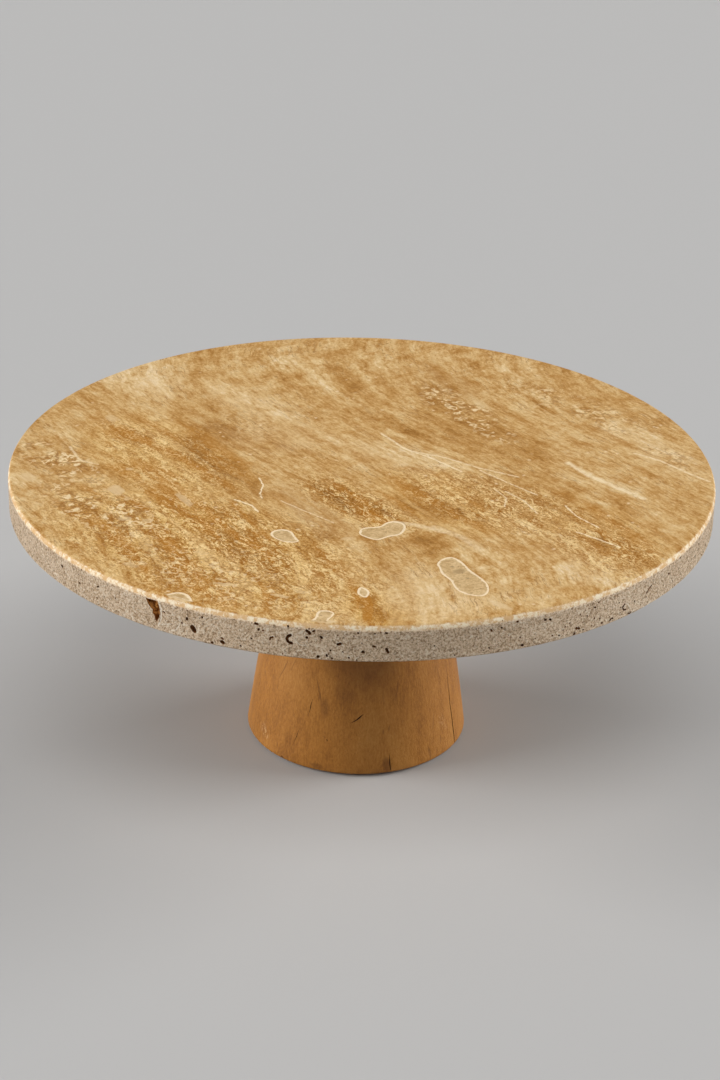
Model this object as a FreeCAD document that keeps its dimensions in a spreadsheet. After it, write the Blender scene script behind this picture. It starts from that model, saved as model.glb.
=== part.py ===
import FreeCAD, Part

import os

import Sketcher

# A cake stand: a round travertine plate bolted onto a turned wooden foot.
#
# The frame is +Z up, with the origin on the table at the centre of the foot, and all sizes are in
# millimetres. From the table upwards the stand is: four silicone pads let into the underside of the
# foot, the foot itself, a thin cork gasket, and the stone plate. One long socket-head bolt goes up
# through the foot into a blind brass insert, which is bedded in resin in the plate's underside. A
# wooden plug closes the bolt's counterbore. The open holes in the top face of the stone are filled
# flush with resin, and each filling is a solid of its own in a pocket of its own shape.

V = FreeCAD.Vector

# The driving dimensions, kept in the document's spreadsheet.
DIMENSIONS = {
    # stone plate
    "plate_radius": 150.0,
    "plate_thickness": 15.5,
    "arris_radius": 1.6,  # eased edge round the top face
    "underside_chamfer": 0.7,
    "fill_depth": 2.6,
    # brass insert and its resin bed
    "insert_radius": 7.0,
    "insert_length": 10.2,
    "insert_bore_depth": 9.2,
    "insert_lead_in": 0.3,
    "knurl_depth": 0.4,
    "knurl_count": 24,
    "resin_wall": 1.0,
    "resin_cap": 0.6,
    # cork gasket between the stone and the wood
    "gasket_radius": 27.0,
    "gasket_bore_radius": 9.0,
    "gasket_thickness": 1.0,
    # wooden foot
    "foot_height": 110.2,
    "foot_base_radius": 48.8,
    "foot_top_radius": 29.0,
    "foot_belly": 1.2,  # how far the side bulges past a straight cone
    "foot_base_round": 1.4,
    "foot_top_round": 1.0,
    "bolt_hole_radius": 4.5,
    "counterbore_radius": 13.0,
    # M8 x 100 socket-head bolt
    "bolt_radius": 4.0,
    "bolt_length": 100.0,
    "thread_length": 28.0,
    "thread_pitch": 1.25,
    "thread_depth": 0.65,
    "thread_clearance": 0.06,
    "bore_clearance": 0.12,
    "bolt_engagement": 8.4,
    "bolt_head_radius": 6.5,
    "bolt_head_height": 8.0,
    "bolt_head_flutes": 32,
    "flute_radius": 0.3,
    "hex_socket_width": 6.0,  # across the flats
    "hex_socket_depth": 4.0,
    # washers under the bolt's head
    "flat_washer_radius": 12.0,
    "flat_washer_bore_radius": 4.2,
    "flat_washer_thickness": 2.0,
    "spring_washer_radius": 7.4,
    "spring_washer_bore_radius": 4.05,
    "spring_washer_thickness": 2.0,
    "spring_washer_gap": 1.6,
    "washer_chamfer": 0.3,
    # plug in the mouth of the counterbore
    "plug_radius": 12.95,
    "plug_height": 8.0,
    "plug_setback": 0.6,
    "plug_chamfer": 0.5,
    # silicone pads under the foot
    "pad_count": 4,
    "pad_radius": 6.0,
    "pad_height": 2.0,
    "pad_standoff": 0.8,
    "pad_round": 0.5,
    "pad_recess_radius": 6.2,
    "pad_circle_radius": 37.0,
}

# Heights of the faces where the pieces meet, as expressions over the spreadsheet.
FOOT_UNDERSIDE = "Dims.pad_standoff"
FOOT_TOP = "Dims.pad_standoff + Dims.foot_height"
PLATE_UNDERSIDE = FOOT_TOP + " + Dims.gasket_thickness"
BOLT_TIP = PLATE_UNDERSIDE + " + Dims.bolt_engagement"
BOLT_SEAT = BOLT_TIP + " - Dims.bolt_length"  # underside of the bolt's head
COUNTERBORE_TOP = BOLT_SEAT + " + Dims.spring_washer_thickness + Dims.flat_washer_thickness"
PAD_RECESS_DEPTH = "(Dims.pad_height - Dims.pad_standoff)"

# Outlines of the fillings in the top face of the plate, as points (x, y) that a closed smooth curve
# goes through. The last two run out through the eased edge.
FILL_OUTLINES = {
    "fill_long_right": [
        (30.4, -99.0),
        (31.6, -93.4),
        (35.6, -90.7),
        (39.2, -93.6),
        (42.4, -100.6),
        (48.3, -111.0),
        (49.5, -118.2),
        (47.2, -123.4),
        (42.6, -123.3),
        (36.8, -118.0),
        (34.6, -110.4),
        (31.6, -105.2),
    ],
    "fill_centre": [
        (-0.5, -69.1),
        (3.2, -65.3),
        (7.6, -64.2),
        (10.2, -60.6),
        (14.4, -59.2),
        (17.5, -61.6),
        (17.7, -67.4),
        (15.6, -71.6),
        (11.2, -73.8),
        (7.0, -76.8),
        (2.4, -74.9),
    ],
    "fill_left": [
        (-35.9, -73.4),
        (-34.0, -70.2),
        (-30.6, -69.3),
        (-27.5, -71.4),
        (-25.9, -75.8),
        (-24.6, -80.2),
        (-28.6, -81.1),
        (-32.8, -78.8),
    ],
    "fill_small_oval": [
        (-0.6, -121.4),
        (1.0, -118.8),
        (3.2, -120.6),
        (3.8, -124.6),
        (2.4, -127.2),
        (0.2, -125.4),
    ],
    "fill_front_edge": [
        (-15.8, -142.2),
        (-12.2, -138.5),
        (-9.2, -140.4),
        (-10.4, -144.8),
        (-12.2, -149.0),
        (-14.4, -152.4),
        (-17.8, -150.6),
        (-17.2, -146.4),
    ],
    "fill_left_edge": [
        (-73.6, -130.4),
        (-71.2, -127.9),
        (-67.8, -126.8),
        (-64.6, -128.6),
        (-62.8, -132.6),
        (-62.2, -137.0),
        (-66.8, -141.6),
        (-74.6, -136.2),
    ],
}


def build_sheet(doc):
    """Write the driving dimensions into the spreadsheet, one aliased cell each."""
    sheet = doc.addObject("Spreadsheet::Sheet", "Dims")
    for row, (alias, value) in enumerate(DIMENSIONS.items(), start=1):
        sheet.set(f"A{row}", str(value))
        sheet.setAlias(f"A{row}", alias)
    doc.recompute()
    return sheet


def new_body(doc, label, height="0"):
    """Start a body whose own z = 0 lies at the given height in the stand's frame."""
    body = doc.addObject("PartDesign::Body", label)
    body.Label = label
    body.setExpression("Placement.Base.z", height)
    return body


def origin_feature(body, role):
    """The body's own origin plane or axis of that role."""
    return next(f for f in body.Origin.OriginFeatures if f.Role == role)


def new_sketch(body, name, role, lift=None):
    """A sketch on one of the body's origin planes, lifted off it by an expression if one is given."""
    sketch = body.newObject("Sketcher::SketchObject", name)
    sketch.AttachmentSupport = [(origin_feature(body, role), "")]
    sketch.MapMode = "FlatFace"
    if lift:
        sketch.setExpression("AttachmentOffset.Base.z", lift)
    body.Document.recompute()
    return sketch


def tie(sketch, kind, line, end, expression):
    """Hold the end of a line at a signed distance from the origin, or on the axis where that is 0."""
    if expression == "0":
        axis = -2 if kind == "DistanceX" else -1
        sketch.addConstraint(Sketcher.Constraint("PointOnObject", line, end, axis))
        return
    value = sketch.evalExpression(expression)
    index = sketch.addConstraint(Sketcher.Constraint(kind, -1, 1, line, end, float(value)))
    sketch.setExpression(f"Constraints[{index}]", expression)


def draw_outline(sketch, corners):
    """A closed run of straight lines through corners given as pairs of expressions."""
    points = [V(*[float(sketch.evalExpression(e)) for e in corner], 0) for corner in corners]
    count = len(points)
    for i in range(count):
        sketch.addGeometry(Part.LineSegment(points[i], points[(i + 1) % count]))
    for i in range(count):
        sketch.addConstraint(Sketcher.Constraint("Coincident", i, 2, (i + 1) % count, 1))
        tie(sketch, "DistanceX", i, 1, corners[i][0])
        tie(sketch, "DistanceY", i, 1, corners[i][1])


def draw_circle(sketch, radius, x="0", y="0"):
    """A circle whose radius and centre are expressions."""
    centre = V(*[float(sketch.evalExpression(e)) for e in (x, y)], 0)
    circle = sketch.addGeometry(Part.Circle(centre, V(0, 0, 1), float(sketch.evalExpression(radius))))
    tie(sketch, "DistanceX", circle, 3, x)
    tie(sketch, "DistanceY", circle, 3, y)
    value = float(sketch.evalExpression(radius))
    index = sketch.addConstraint(Sketcher.Constraint("Radius", circle, value))
    sketch.setExpression(f"Constraints[{index}]", radius)


def revolve(body, corners, name="turned"):
    """Turn a closed profile, given as (radius, height) expressions, round the body's Z axis."""
    sketch = new_sketch(body, name + "_profile", "XZ_Plane")
    draw_outline(sketch, corners)
    return spin(body, sketch, "PartDesign::Revolution", name)


def spin(body, sketch, kind, name):
    """A full Revolution or Groove of a sketch round the body's Z axis."""
    feature = body.newObject(kind, name)
    feature.Profile = sketch
    feature.ReferenceAxis = (sketch, ["V_Axis"])
    feature.Angle = 360
    body.Document.recompute()
    return feature


def cut_down_or_up(body, sketch, name, depth, upwards):
    """A pocket of the sketch to a depth, checked to have taken something away."""
    before = body.Shape.Volume
    pocket = body.newObject("PartDesign::Pocket", name)
    pocket.Profile = sketch
    pocket.Type = 0
    pocket.setExpression("Length", depth)
    pocket.Reversed = upwards
    body.Document.recompute()
    if body.Shape.Volume > before - 1e-3:
        raise RuntimeError(f"{name} in {body.Label} cut nothing")
    return pocket


def round_pocket(body, name, radius, depth, lift=None, upwards=True, x="0", y="0"):
    """A round pocket from the XY plane, or from a plane lifted off it."""
    sketch = new_sketch(body, name + "_sketch", "XY_Plane", lift)
    draw_circle(sketch, radius, x, y)
    return cut_down_or_up(body, sketch, name, depth, upwards)


def repeat_round(body, feature, name, count):
    """Repeat a feature evenly round the body's Z axis."""
    pattern = body.newObject("PartDesign::PolarPattern", name)
    pattern.Originals = [feature]
    pattern.Axis = (origin_feature(body, "Z_Axis"), [""])
    pattern.Angle = 360
    pattern.setExpression("Occurrences", count)
    body.Tip = pattern
    body.Document.recompute()
    return pattern


def repeat_up(body, feature, name, pitch, count):
    """Repeat a feature at an even pitch along the body's Z axis."""
    pattern = body.newObject("PartDesign::LinearPattern", name)
    pattern.Originals = [feature]
    pattern.Direction = (origin_feature(body, "Z_Axis"), [""])
    pattern.setExpression("Length", f"{pitch} * ({count} - 1)")
    pattern.setExpression("Occurrences", count)
    body.Tip = pattern
    body.Document.recompute()
    return pattern


def circle_edges(body, radius, height):
    """Names of the body's round edges of that radius at that height, in the body's own frame."""
    base = body.Placement.Base.z
    found = []
    for number, edge in enumerate(body.Shape.Edges, start=1):
        round_edge = isinstance(edge.Curve, Part.Circle)
        if round_edge and abs(edge.Curve.Radius - radius) < 1e-4:
            if abs(edge.BoundBox.ZMin - base - height) < 1e-4:
                found.append(f"Edge{number}")
    if not found:
        raise RuntimeError(f"{body.Label} has no round edge of radius {radius} at height {height}")
    return found


def ease_edges(body, kind, name, size, radius, height):
    """Fillet or chamfer the round edges that a radius and a height, both expressions, point to."""
    edges = circle_edges(body, *[float(body.evalExpression(e)) for e in (radius, height)])
    previous = body.Tip
    feature = body.newObject(kind, name)
    feature.Base = (previous, edges)
    feature.setExpression("Radius" if kind == "PartDesign::Fillet" else "Size", size)
    body.Tip = feature
    body.Document.recompute()
    return feature


def fill_prism(doc, label, points):
    """A prism of a filling's outline, from the bottom of its pocket to just above the plate."""
    outline = doc.addObject("Sketcher::SketchObject", label + "_outline")
    curve = Part.BSplineCurve()
    curve.interpolate(Points=[V(x, y, 0) for x, y in points], PeriodicFlag=True)
    outline.addGeometry(curve)
    outline.setExpression(
        "Placement.Base.z", PLATE_UNDERSIDE + " + Dims.plate_thickness - Dims.fill_depth"
    )
    prism = doc.addObject("Part::Extrusion", label + "_prism")
    prism.Base = outline
    prism.DirMode = "Custom"
    prism.Dir = V(0, 0, 1)
    prism.Solid = True
    prism.setExpression("LengthFwd", "Dims.fill_depth + 1")
    doc.recompute()
    return prism


def build_plate(doc):
    """The stone plate, with its eased edges, the insert's blind bore and the fillings' pockets.

    Returns the plate followed by its fillings.
    """
    blank = new_body(doc, "plate_blank", PLATE_UNDERSIDE)
    revolve(
        blank,
        [
            ("0", "0"),
            ("Dims.plate_radius", "0"),
            ("Dims.plate_radius", "Dims.plate_thickness"),
            ("0", "Dims.plate_thickness"),
        ],
    )
    ease_edges(
        blank,
        "PartDesign::Fillet",
        "top_arris",
        "Dims.arris_radius",
        "Dims.plate_radius",
        "Dims.plate_thickness",
    )
    ease_edges(
        blank,
        "PartDesign::Chamfer",
        "underside_arris",
        "Dims.underside_chamfer",
        "Dims.plate_radius",
        "0",
    )
    round_pocket(
        blank,
        "insert_bore",
        "Dims.insert_radius + Dims.resin_wall",
        "Dims.insert_length + Dims.resin_cap",
    )
    fillings = []
    prisms = []
    for label, points in FILL_OUTLINES.items():
        prism = fill_prism(doc, label, points)
        filling = doc.addObject("Part::Common", label)
        filling.Base = blank
        filling.Tool = prism
        filling.Label = label
        fillings.append(filling)
        prisms.append(prism)
    pockets = doc.addObject("Part::MultiFuse", "fill_pockets")
    pockets.Shapes = prisms
    plate = doc.addObject("Part::Cut", "travertine_plate")
    plate.Base = blank
    plate.Tool = pockets
    plate.Label = "travertine_plate"
    doc.recompute()
    return [plate, *fillings]


def thread_groove(body, name, centre, mouth, root):
    """One ring groove round the Z axis, centred on a height.

    The mouth and the root are each a pair of expressions: a radius and a half-width.
    """
    sketch = new_sketch(body, name + "_sketch", "XZ_Plane")
    draw_outline(
        sketch,
        [
            (mouth[0], f"{centre} - {mouth[1]}"),
            (root[0], f"{centre} - {root[1]}"),
            (root[0], f"{centre} + {root[1]}"),
            (mouth[0], f"{centre} + {mouth[1]}"),
        ],
    )
    return spin(body, sketch, "PartDesign::Groove", name)


def build_insert(doc):
    """The blind brass insert: straight knurl, two keying grooves, and a threaded bore from below."""
    body = new_body(doc, "threaded_insert", PLATE_UNDERSIDE)
    bore = "Dims.bolt_radius - Dims.thread_depth + Dims.bore_clearance"
    revolve(
        body,
        [
            (f"({bore} + Dims.insert_lead_in)", "0"),
            ("Dims.insert_radius", "0"),
            ("Dims.insert_radius", "Dims.insert_length * 0.3"),
            ("Dims.insert_radius - 0.8", "Dims.insert_length * 0.34"),
            ("Dims.insert_radius - 0.8", "Dims.insert_length * 0.42"),
            ("Dims.insert_radius", "Dims.insert_length * 0.46"),
            ("Dims.insert_radius", "Dims.insert_length * 0.64"),
            ("Dims.insert_radius - 0.8", "Dims.insert_length * 0.68"),
            ("Dims.insert_radius - 0.8", "Dims.insert_length * 0.76"),
            ("Dims.insert_radius", "Dims.insert_length * 0.8"),
            ("Dims.insert_radius", "Dims.insert_length - 0.5"),
            ("Dims.insert_radius - 0.5", "Dims.insert_length"),
            ("0", "Dims.insert_length"),
            ("0", "Dims.insert_bore_depth"),
            (bore, "Dims.insert_bore_depth"),
            (bore, "Dims.insert_lead_in"),
        ],
    )
    flute = round_pocket(
        body,
        "knurl_flute",
        "Dims.knurl_depth",
        "Dims.insert_length - 0.8",
        lift="0.8",
        x="Dims.insert_radius",
    )
    repeat_round(body, flute, "knurl", "Dims.knurl_count")
    # The ring grooves stand in for the thread's helix, in step with those on the bolt's tip.
    turns = "floor(Dims.bolt_engagement / Dims.thread_pitch)"
    groove = thread_groove(
        body,
        "thread_turn",
        f"Dims.bolt_engagement - {turns} * Dims.thread_pitch",
        (f"({bore} - 0.02)", "(Dims.thread_pitch * 0.464)"),
        ("(Dims.bolt_radius + Dims.thread_clearance)", "(Dims.thread_pitch * 0.096)"),
    )
    repeat_up(body, groove, "thread", "Dims.thread_pitch", f"{turns} + 1")
    return body


def build_insert_resin(doc, insert):
    """The resin bed between the insert and the stone, which fills the knurl and keying grooves."""
    bore = doc.addObject("Part::Cylinder", "insert_bore_volume")
    bore.setExpression("Radius", "Dims.insert_radius + Dims.resin_wall")
    bore.setExpression("Height", "Dims.insert_length + Dims.resin_cap")
    bore.setExpression("Placement.Base.z", PLATE_UNDERSIDE)
    core = doc.addObject("Part::Cylinder", "insert_core_volume")
    core.setExpression("Radius", "Dims.bolt_radius + Dims.thread_clearance")
    core.setExpression("Height", "Dims.insert_bore_depth")
    core.setExpression("Placement.Base.z", PLATE_UNDERSIDE)
    solid_insert = doc.addObject("Part::Fuse", "insert_and_its_bore")
    solid_insert.Base = insert
    solid_insert.Tool = core
    resin = doc.addObject("Part::Cut", "insert_resin")
    resin.Base = bore
    resin.Tool = solid_insert
    resin.Label = "insert_resin"
    doc.recompute()
    return resin


def build_ring(doc, label, height, radius, bore, thickness, chamfer=None):
    """A flat ring with its rims chamfered if a size is given."""
    body = new_body(doc, label, height)
    revolve(body, [(bore, "0"), (radius, "0"), (radius, thickness), (bore, thickness)])
    if chamfer:
        for name, level in (("lower_rim", "0"), ("upper_rim", thickness)):
            ease_edges(body, "PartDesign::Chamfer", name, chamfer, radius, level)
    return body


def build_foot(doc):
    """The turned foot: a slightly bellied cone, bored and counterbored, with pad recesses."""
    body = new_body(doc, "turned_foot", FOOT_UNDERSIDE)
    sketch = new_sketch(body, "foot_profile", "XZ_Plane")
    base, top, height = [
        float(sketch.evalExpression("Dims." + alias))
        for alias in ("foot_base_radius", "foot_top_radius", "foot_height")
    ]
    belly = float(sketch.evalExpression("Dims.foot_belly"))
    side_middle = V((base + top) / 2 + belly, height / 2, 0)
    axis, underside, side, face = sketch.addGeometry(
        [
            Part.LineSegment(V(0, height, 0), V(0, 0, 0)),
            Part.LineSegment(V(0, 0, 0), V(base, 0, 0)),
            Part.Arc(V(base, 0, 0), side_middle, V(top, height, 0)),
            Part.LineSegment(V(top, height, 0), V(0, height, 0)),
        ]
    )
    for first, first_end, second, second_end in (
        (axis, 2, underside, 1),
        (underside, 2, side, 1),
        (side, 2, face, 1),
        (face, 2, axis, 1),
    ):
        sketch.addConstraint(
            Sketcher.Constraint("Coincident", first, first_end, second, second_end)
        )
    sketch.addConstraint(Sketcher.Constraint("Coincident", axis, 2, -1, 1))
    sketch.addConstraint(Sketcher.Constraint("PointOnObject", axis, 1, -2))
    sketch.addConstraint(Sketcher.Constraint("Horizontal", underside))
    sketch.addConstraint(Sketcher.Constraint("Horizontal", face))
    tie(sketch, "DistanceX", underside, 2, "Dims.foot_base_radius")
    tie(sketch, "DistanceX", face, 1, "Dims.foot_top_radius")
    tie(sketch, "DistanceY", face, 1, "Dims.foot_height")
    side_radius = (
        "((Dims.foot_base_radius - Dims.foot_top_radius)^2 + Dims.foot_height^2)"
        " / (8 * Dims.foot_belly) + Dims.foot_belly / 2"
    )
    value = float(sketch.evalExpression(side_radius))
    index = sketch.addConstraint(Sketcher.Constraint("Radius", side, value))
    sketch.setExpression(f"Constraints[{index}]", side_radius)
    spin(body, sketch, "PartDesign::Revolution", "turned")
    ease_edges(
        body, "PartDesign::Fillet", "base_round", "Dims.foot_base_round", "Dims.foot_base_radius", "0"
    )
    ease_edges(
        body,
        "PartDesign::Fillet",
        "top_round",
        "Dims.foot_top_round",
        "Dims.foot_top_radius",
        "Dims.foot_height",
    )
    round_pocket(body, "bolt_hole", "Dims.bolt_hole_radius", "Dims.foot_height + 1")
    round_pocket(
        body, "counterbore", "Dims.counterbore_radius", f"{COUNTERBORE_TOP} - {FOOT_UNDERSIDE}"
    )
    recess = round_pocket(
        body,
        "pad_recess",
        "Dims.pad_recess_radius",
        PAD_RECESS_DEPTH,
        x="Dims.pad_circle_radius * cos(45)",
        y="Dims.pad_circle_radius * sin(45)",
    )
    repeat_round(body, recess, "pad_recesses", "Dims.pad_count")
    return body


def build_bolt(doc):
    """The M8 socket-head bolt, head down, with ring grooves in place of the thread's helix."""
    body = new_body(doc, "clamp_bolt", BOLT_SEAT + " - Dims.bolt_head_height")
    tip = "Dims.bolt_head_height + Dims.bolt_length"
    revolve(
        body,
        [
            ("0", "0"),
            ("Dims.bolt_head_radius - 0.5", "0"),
            ("Dims.bolt_head_radius", "0.5"),
            ("Dims.bolt_head_radius", "Dims.bolt_head_height"),
            ("Dims.bolt_radius", "Dims.bolt_head_height"),
            ("Dims.bolt_radius", f"{tip} - Dims.thread_depth"),
            ("Dims.bolt_radius - Dims.thread_depth", tip),
            ("0", tip),
        ],
    )
    socket = new_sketch(body, "hex_socket_sketch", "XY_Plane")
    across = "Dims.hex_socket_width"
    corner = f"({across} / 2 / cos(30))"
    draw_outline(
        socket,
        [
            (corner, "0"),
            (f"{corner} / 2", f"{across} / 2"),
            (f"-{corner} / 2", f"{across} / 2"),
            (f"-{corner}", "0"),
            (f"-{corner} / 2", f"-{across} / 2"),
            (f"{corner} / 2", f"-{across} / 2"),
        ],
    )
    cut_down_or_up(body, socket, "hex_socket", "Dims.hex_socket_depth", True)
    flute = round_pocket(
        body,
        "head_flute",
        "Dims.flute_radius",
        "Dims.bolt_head_height - 2",
        lift="1.4",
        x="Dims.bolt_head_radius",
    )
    repeat_round(body, flute, "head_knurl", "Dims.bolt_head_flutes")
    turns = "floor(Dims.thread_length / Dims.thread_pitch)"
    groove = thread_groove(
        body,
        "thread_turn",
        f"{tip} - ({turns} - 0.5) * Dims.thread_pitch",
        ("(Dims.bolt_radius + 0.02)", "(Dims.thread_pitch * 0.436)"),
        ("(Dims.bolt_radius - Dims.thread_depth)", "(Dims.thread_pitch * 0.04)"),
    )
    repeat_up(body, groove, "thread", "Dims.thread_pitch", turns)
    return body


def build_spring_washer(doc):
    """A square-section split washer, pressed flat by the bolt's head."""
    body = build_ring(
        doc,
        "spring_washer",
        BOLT_SEAT,
        "Dims.spring_washer_radius",
        "Dims.spring_washer_bore_radius",
        "Dims.spring_washer_thickness",
        "Dims.washer_chamfer",
    )
    slit = new_sketch(body, "slit_sketch", "XZ_Plane", "-Dims.spring_washer_radius - 1")
    lean = "Dims.spring_washer_thickness / 2"  # the slit's ends slant, as a coil's do
    draw_outline(
        slit,
        [
            ("-Dims.spring_washer_gap / 2 - " + lean, "-0.5"),
            ("Dims.spring_washer_gap / 2 - " + lean, "-0.5"),
            ("Dims.spring_washer_gap / 2 + " + lean, "Dims.spring_washer_thickness + 0.5"),
            ("-Dims.spring_washer_gap / 2 + " + lean, "Dims.spring_washer_thickness + 0.5"),
        ],
    )
    cut_down_or_up(body, slit, "slit", "Dims.spring_washer_radius", True)
    return body


def build_plug(doc):
    """The wooden plug that closes the counterbore, a little inside the foot's underside."""
    body = new_body(doc, "bore_plug", FOOT_UNDERSIDE + " + Dims.plug_setback")
    revolve(
        body,
        [
            ("0", "0"),
            ("Dims.plug_radius", "0"),
            ("Dims.plug_radius", "Dims.plug_height"),
            ("0", "Dims.plug_height"),
        ],
    )
    for name, level in (("lower_rim", "0"), ("upper_rim", "Dims.plug_height")):
        ease_edges(
            body, "PartDesign::Chamfer", name, "Dims.plug_chamfer", "Dims.plug_radius", level
        )
    return body


def build_pads(doc):
    """The silicone pads, each in a recess of the foot and standing a little proud of it."""
    pads = []
    for number in range(1, DIMENSIONS["pad_count"] + 1):
        body = new_body(doc, f"foot_pad_{number}")
        turn = f"(360 * {number - 1} / Dims.pad_count + 45)"
        body.setExpression("Placement.Base.x", f"Dims.pad_circle_radius * cos({turn})")
        body.setExpression("Placement.Base.y", f"Dims.pad_circle_radius * sin({turn})")
        revolve(
            body,
            [
                ("0", "0"),
                ("Dims.pad_radius", "0"),
                ("Dims.pad_radius", "Dims.pad_height"),
                ("0", "Dims.pad_height"),
            ],
        )
        ease_edges(
            body, "PartDesign::Fillet", "lower_round", "Dims.pad_round", "Dims.pad_radius", "0"
        )
        pads.append(body)
    return pads


def check_document(doc, subparts):
    """Stop if any object failed to compute, or a sub-part isn't a sound solid."""
    for obj in doc.Objects:
        if {"Invalid", "Error"} & set(obj.State):
            raise RuntimeError(f"{obj.Label} did not compute: {obj.State}")
    for part in subparts:
        shape = part.Shape
        if shape.isNull() or not shape.isValid() or not shape.Solids:
            raise RuntimeError(f"{part.Label} is not a valid solid")


def main():
    """Build the stand and write each sub-part to its own STEP file."""
    doc = FreeCAD.newDocument("CakeStand")
    build_sheet(doc)
    insert = build_insert(doc)
    subparts = [
        *build_plate(doc),
        insert,
        build_insert_resin(doc, insert),
        build_ring(
            doc,
            "seat_gasket",
            FOOT_TOP,
            "Dims.gasket_radius",
            "Dims.gasket_bore_radius",
            "Dims.gasket_thickness",
        ),
        build_foot(doc),
        build_ring(
            doc,
            "flat_washer",
            BOLT_SEAT + " + Dims.spring_washer_thickness",
            "Dims.flat_washer_radius",
            "Dims.flat_washer_bore_radius",
            "Dims.flat_washer_thickness",
            "Dims.washer_chamfer",
        ),
        build_spring_washer(doc),
        build_bolt(doc),
        build_plug(doc),
        *build_pads(doc),
    ]
    doc.recompute()
    check_document(doc, subparts)
    os.makedirs("parts", exist_ok=True)
    for part in subparts:
        part.Shape.exportStep(f"parts/{part.Label}.step")
        box = part.Shape.BoundBox
        print(
            f"{part.Label}: {len(part.Shape.Solids)} solid, {part.Shape.Volume:.1f} mm3,"
            f" z {box.ZMin:.2f} to {box.ZMax:.2f}"
        )


main()
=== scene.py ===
"""Dress the cake stand: a filled travertine plate on a turned wooden foot."""

import logging
import math
from dataclasses import dataclass, field
from enum import Enum
from typing import Any, Callable, Iterable, Sequence

import bmesh
import bpy
import numpy as np
from mathutils import Matrix, Vector, noise


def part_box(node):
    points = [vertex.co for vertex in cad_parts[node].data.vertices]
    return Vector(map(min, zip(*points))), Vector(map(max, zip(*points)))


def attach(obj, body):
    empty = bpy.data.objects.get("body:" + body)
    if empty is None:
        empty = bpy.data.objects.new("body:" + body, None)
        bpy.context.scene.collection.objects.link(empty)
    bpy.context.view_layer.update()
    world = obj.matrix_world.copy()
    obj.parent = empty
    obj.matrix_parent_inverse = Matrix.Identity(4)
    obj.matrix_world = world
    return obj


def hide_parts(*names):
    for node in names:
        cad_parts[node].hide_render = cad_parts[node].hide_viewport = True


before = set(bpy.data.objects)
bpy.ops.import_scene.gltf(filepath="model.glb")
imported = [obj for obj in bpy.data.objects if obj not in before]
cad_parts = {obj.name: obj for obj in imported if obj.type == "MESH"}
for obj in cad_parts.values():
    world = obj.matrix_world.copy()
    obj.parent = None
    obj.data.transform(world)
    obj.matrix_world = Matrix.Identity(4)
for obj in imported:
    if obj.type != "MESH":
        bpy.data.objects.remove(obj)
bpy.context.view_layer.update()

LOG = logging.getLogger("cake_stand")

MM = 0.001
Colour = tuple[float, float, float]
Point2 = tuple[float, float]
Socket = bpy.types.NodeSocket
Material = bpy.types.Material
Thing = bpy.types.Object


class Side(Enum):
    """Which face of the plate raw pits are scattered over."""

    RIM = "rim"
    UNDERSIDE = "underside"


def srgb(red: float, green: float, blue: float) -> Colour:
    """Turn a display colour of 0 to 255 into the linear colour a shader reads.

    Args:
        red: its red.
        green: its green.
        blue: its blue.

    Returns:
        The linear colour, each channel from 0 to 1.
    """

    def linear(channel: float) -> float:
        """Undo the display curve of one channel."""
        value = channel / 255
        return value / 12.92 if value <= 0.04045 else ((value + 0.055) / 1.055) ** 2.4

    return linear(red), linear(green), linear(blue)


# ---------------------------------------------------------------------------------------------
# Shader maths
# ---------------------------------------------------------------------------------------------


class Value:
    """A number that varies over a surface. Arithmetic on it adds Math nodes to its material."""

    def __init__(self, maker: "Maker", socket: Socket) -> None:
        """Wrap an output socket of the maker's material."""
        self.maker = maker
        self.socket = socket

    def _math(self, operation: str, *operands: Any) -> "Value":
        """Add one Math node over the operands."""
        return self.maker.math(operation, *operands)

    def __add__(self, other: Any) -> "Value":
        """Sum."""
        return self._math("ADD", self, other)

    def __radd__(self, other: Any) -> "Value":
        """Sum, with a plain number first."""
        return self._math("ADD", other, self)

    def __sub__(self, other: Any) -> "Value":
        """Difference."""
        return self._math("SUBTRACT", self, other)

    def __rsub__(self, other: Any) -> "Value":
        """Difference, with a plain number first."""
        return self._math("SUBTRACT", other, self)

    def __mul__(self, other: Any) -> "Value":
        """Product."""
        return self._math("MULTIPLY", self, other)

    def __rmul__(self, other: Any) -> "Value":
        """Product, with a plain number first."""
        return self._math("MULTIPLY", other, self)

    def __truediv__(self, other: Any) -> "Value":
        """Quotient."""
        return self._math("DIVIDE", self, other)

    def __abs__(self) -> "Value":
        """The number without its sign."""
        return self._math("ABSOLUTE", self)

    def clamp(self) -> "Value":
        """The number held between 0 and 1."""
        return self._math("MAXIMUM", self._math("MINIMUM", self, 1.0), 0.0)

    def above(self, low: float, high: float) -> "Value":
        """A smooth step, 0 below low and 1 above high, or the other way if low is the larger."""
        return self.maker.smooth_step(self, low, high)


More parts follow.
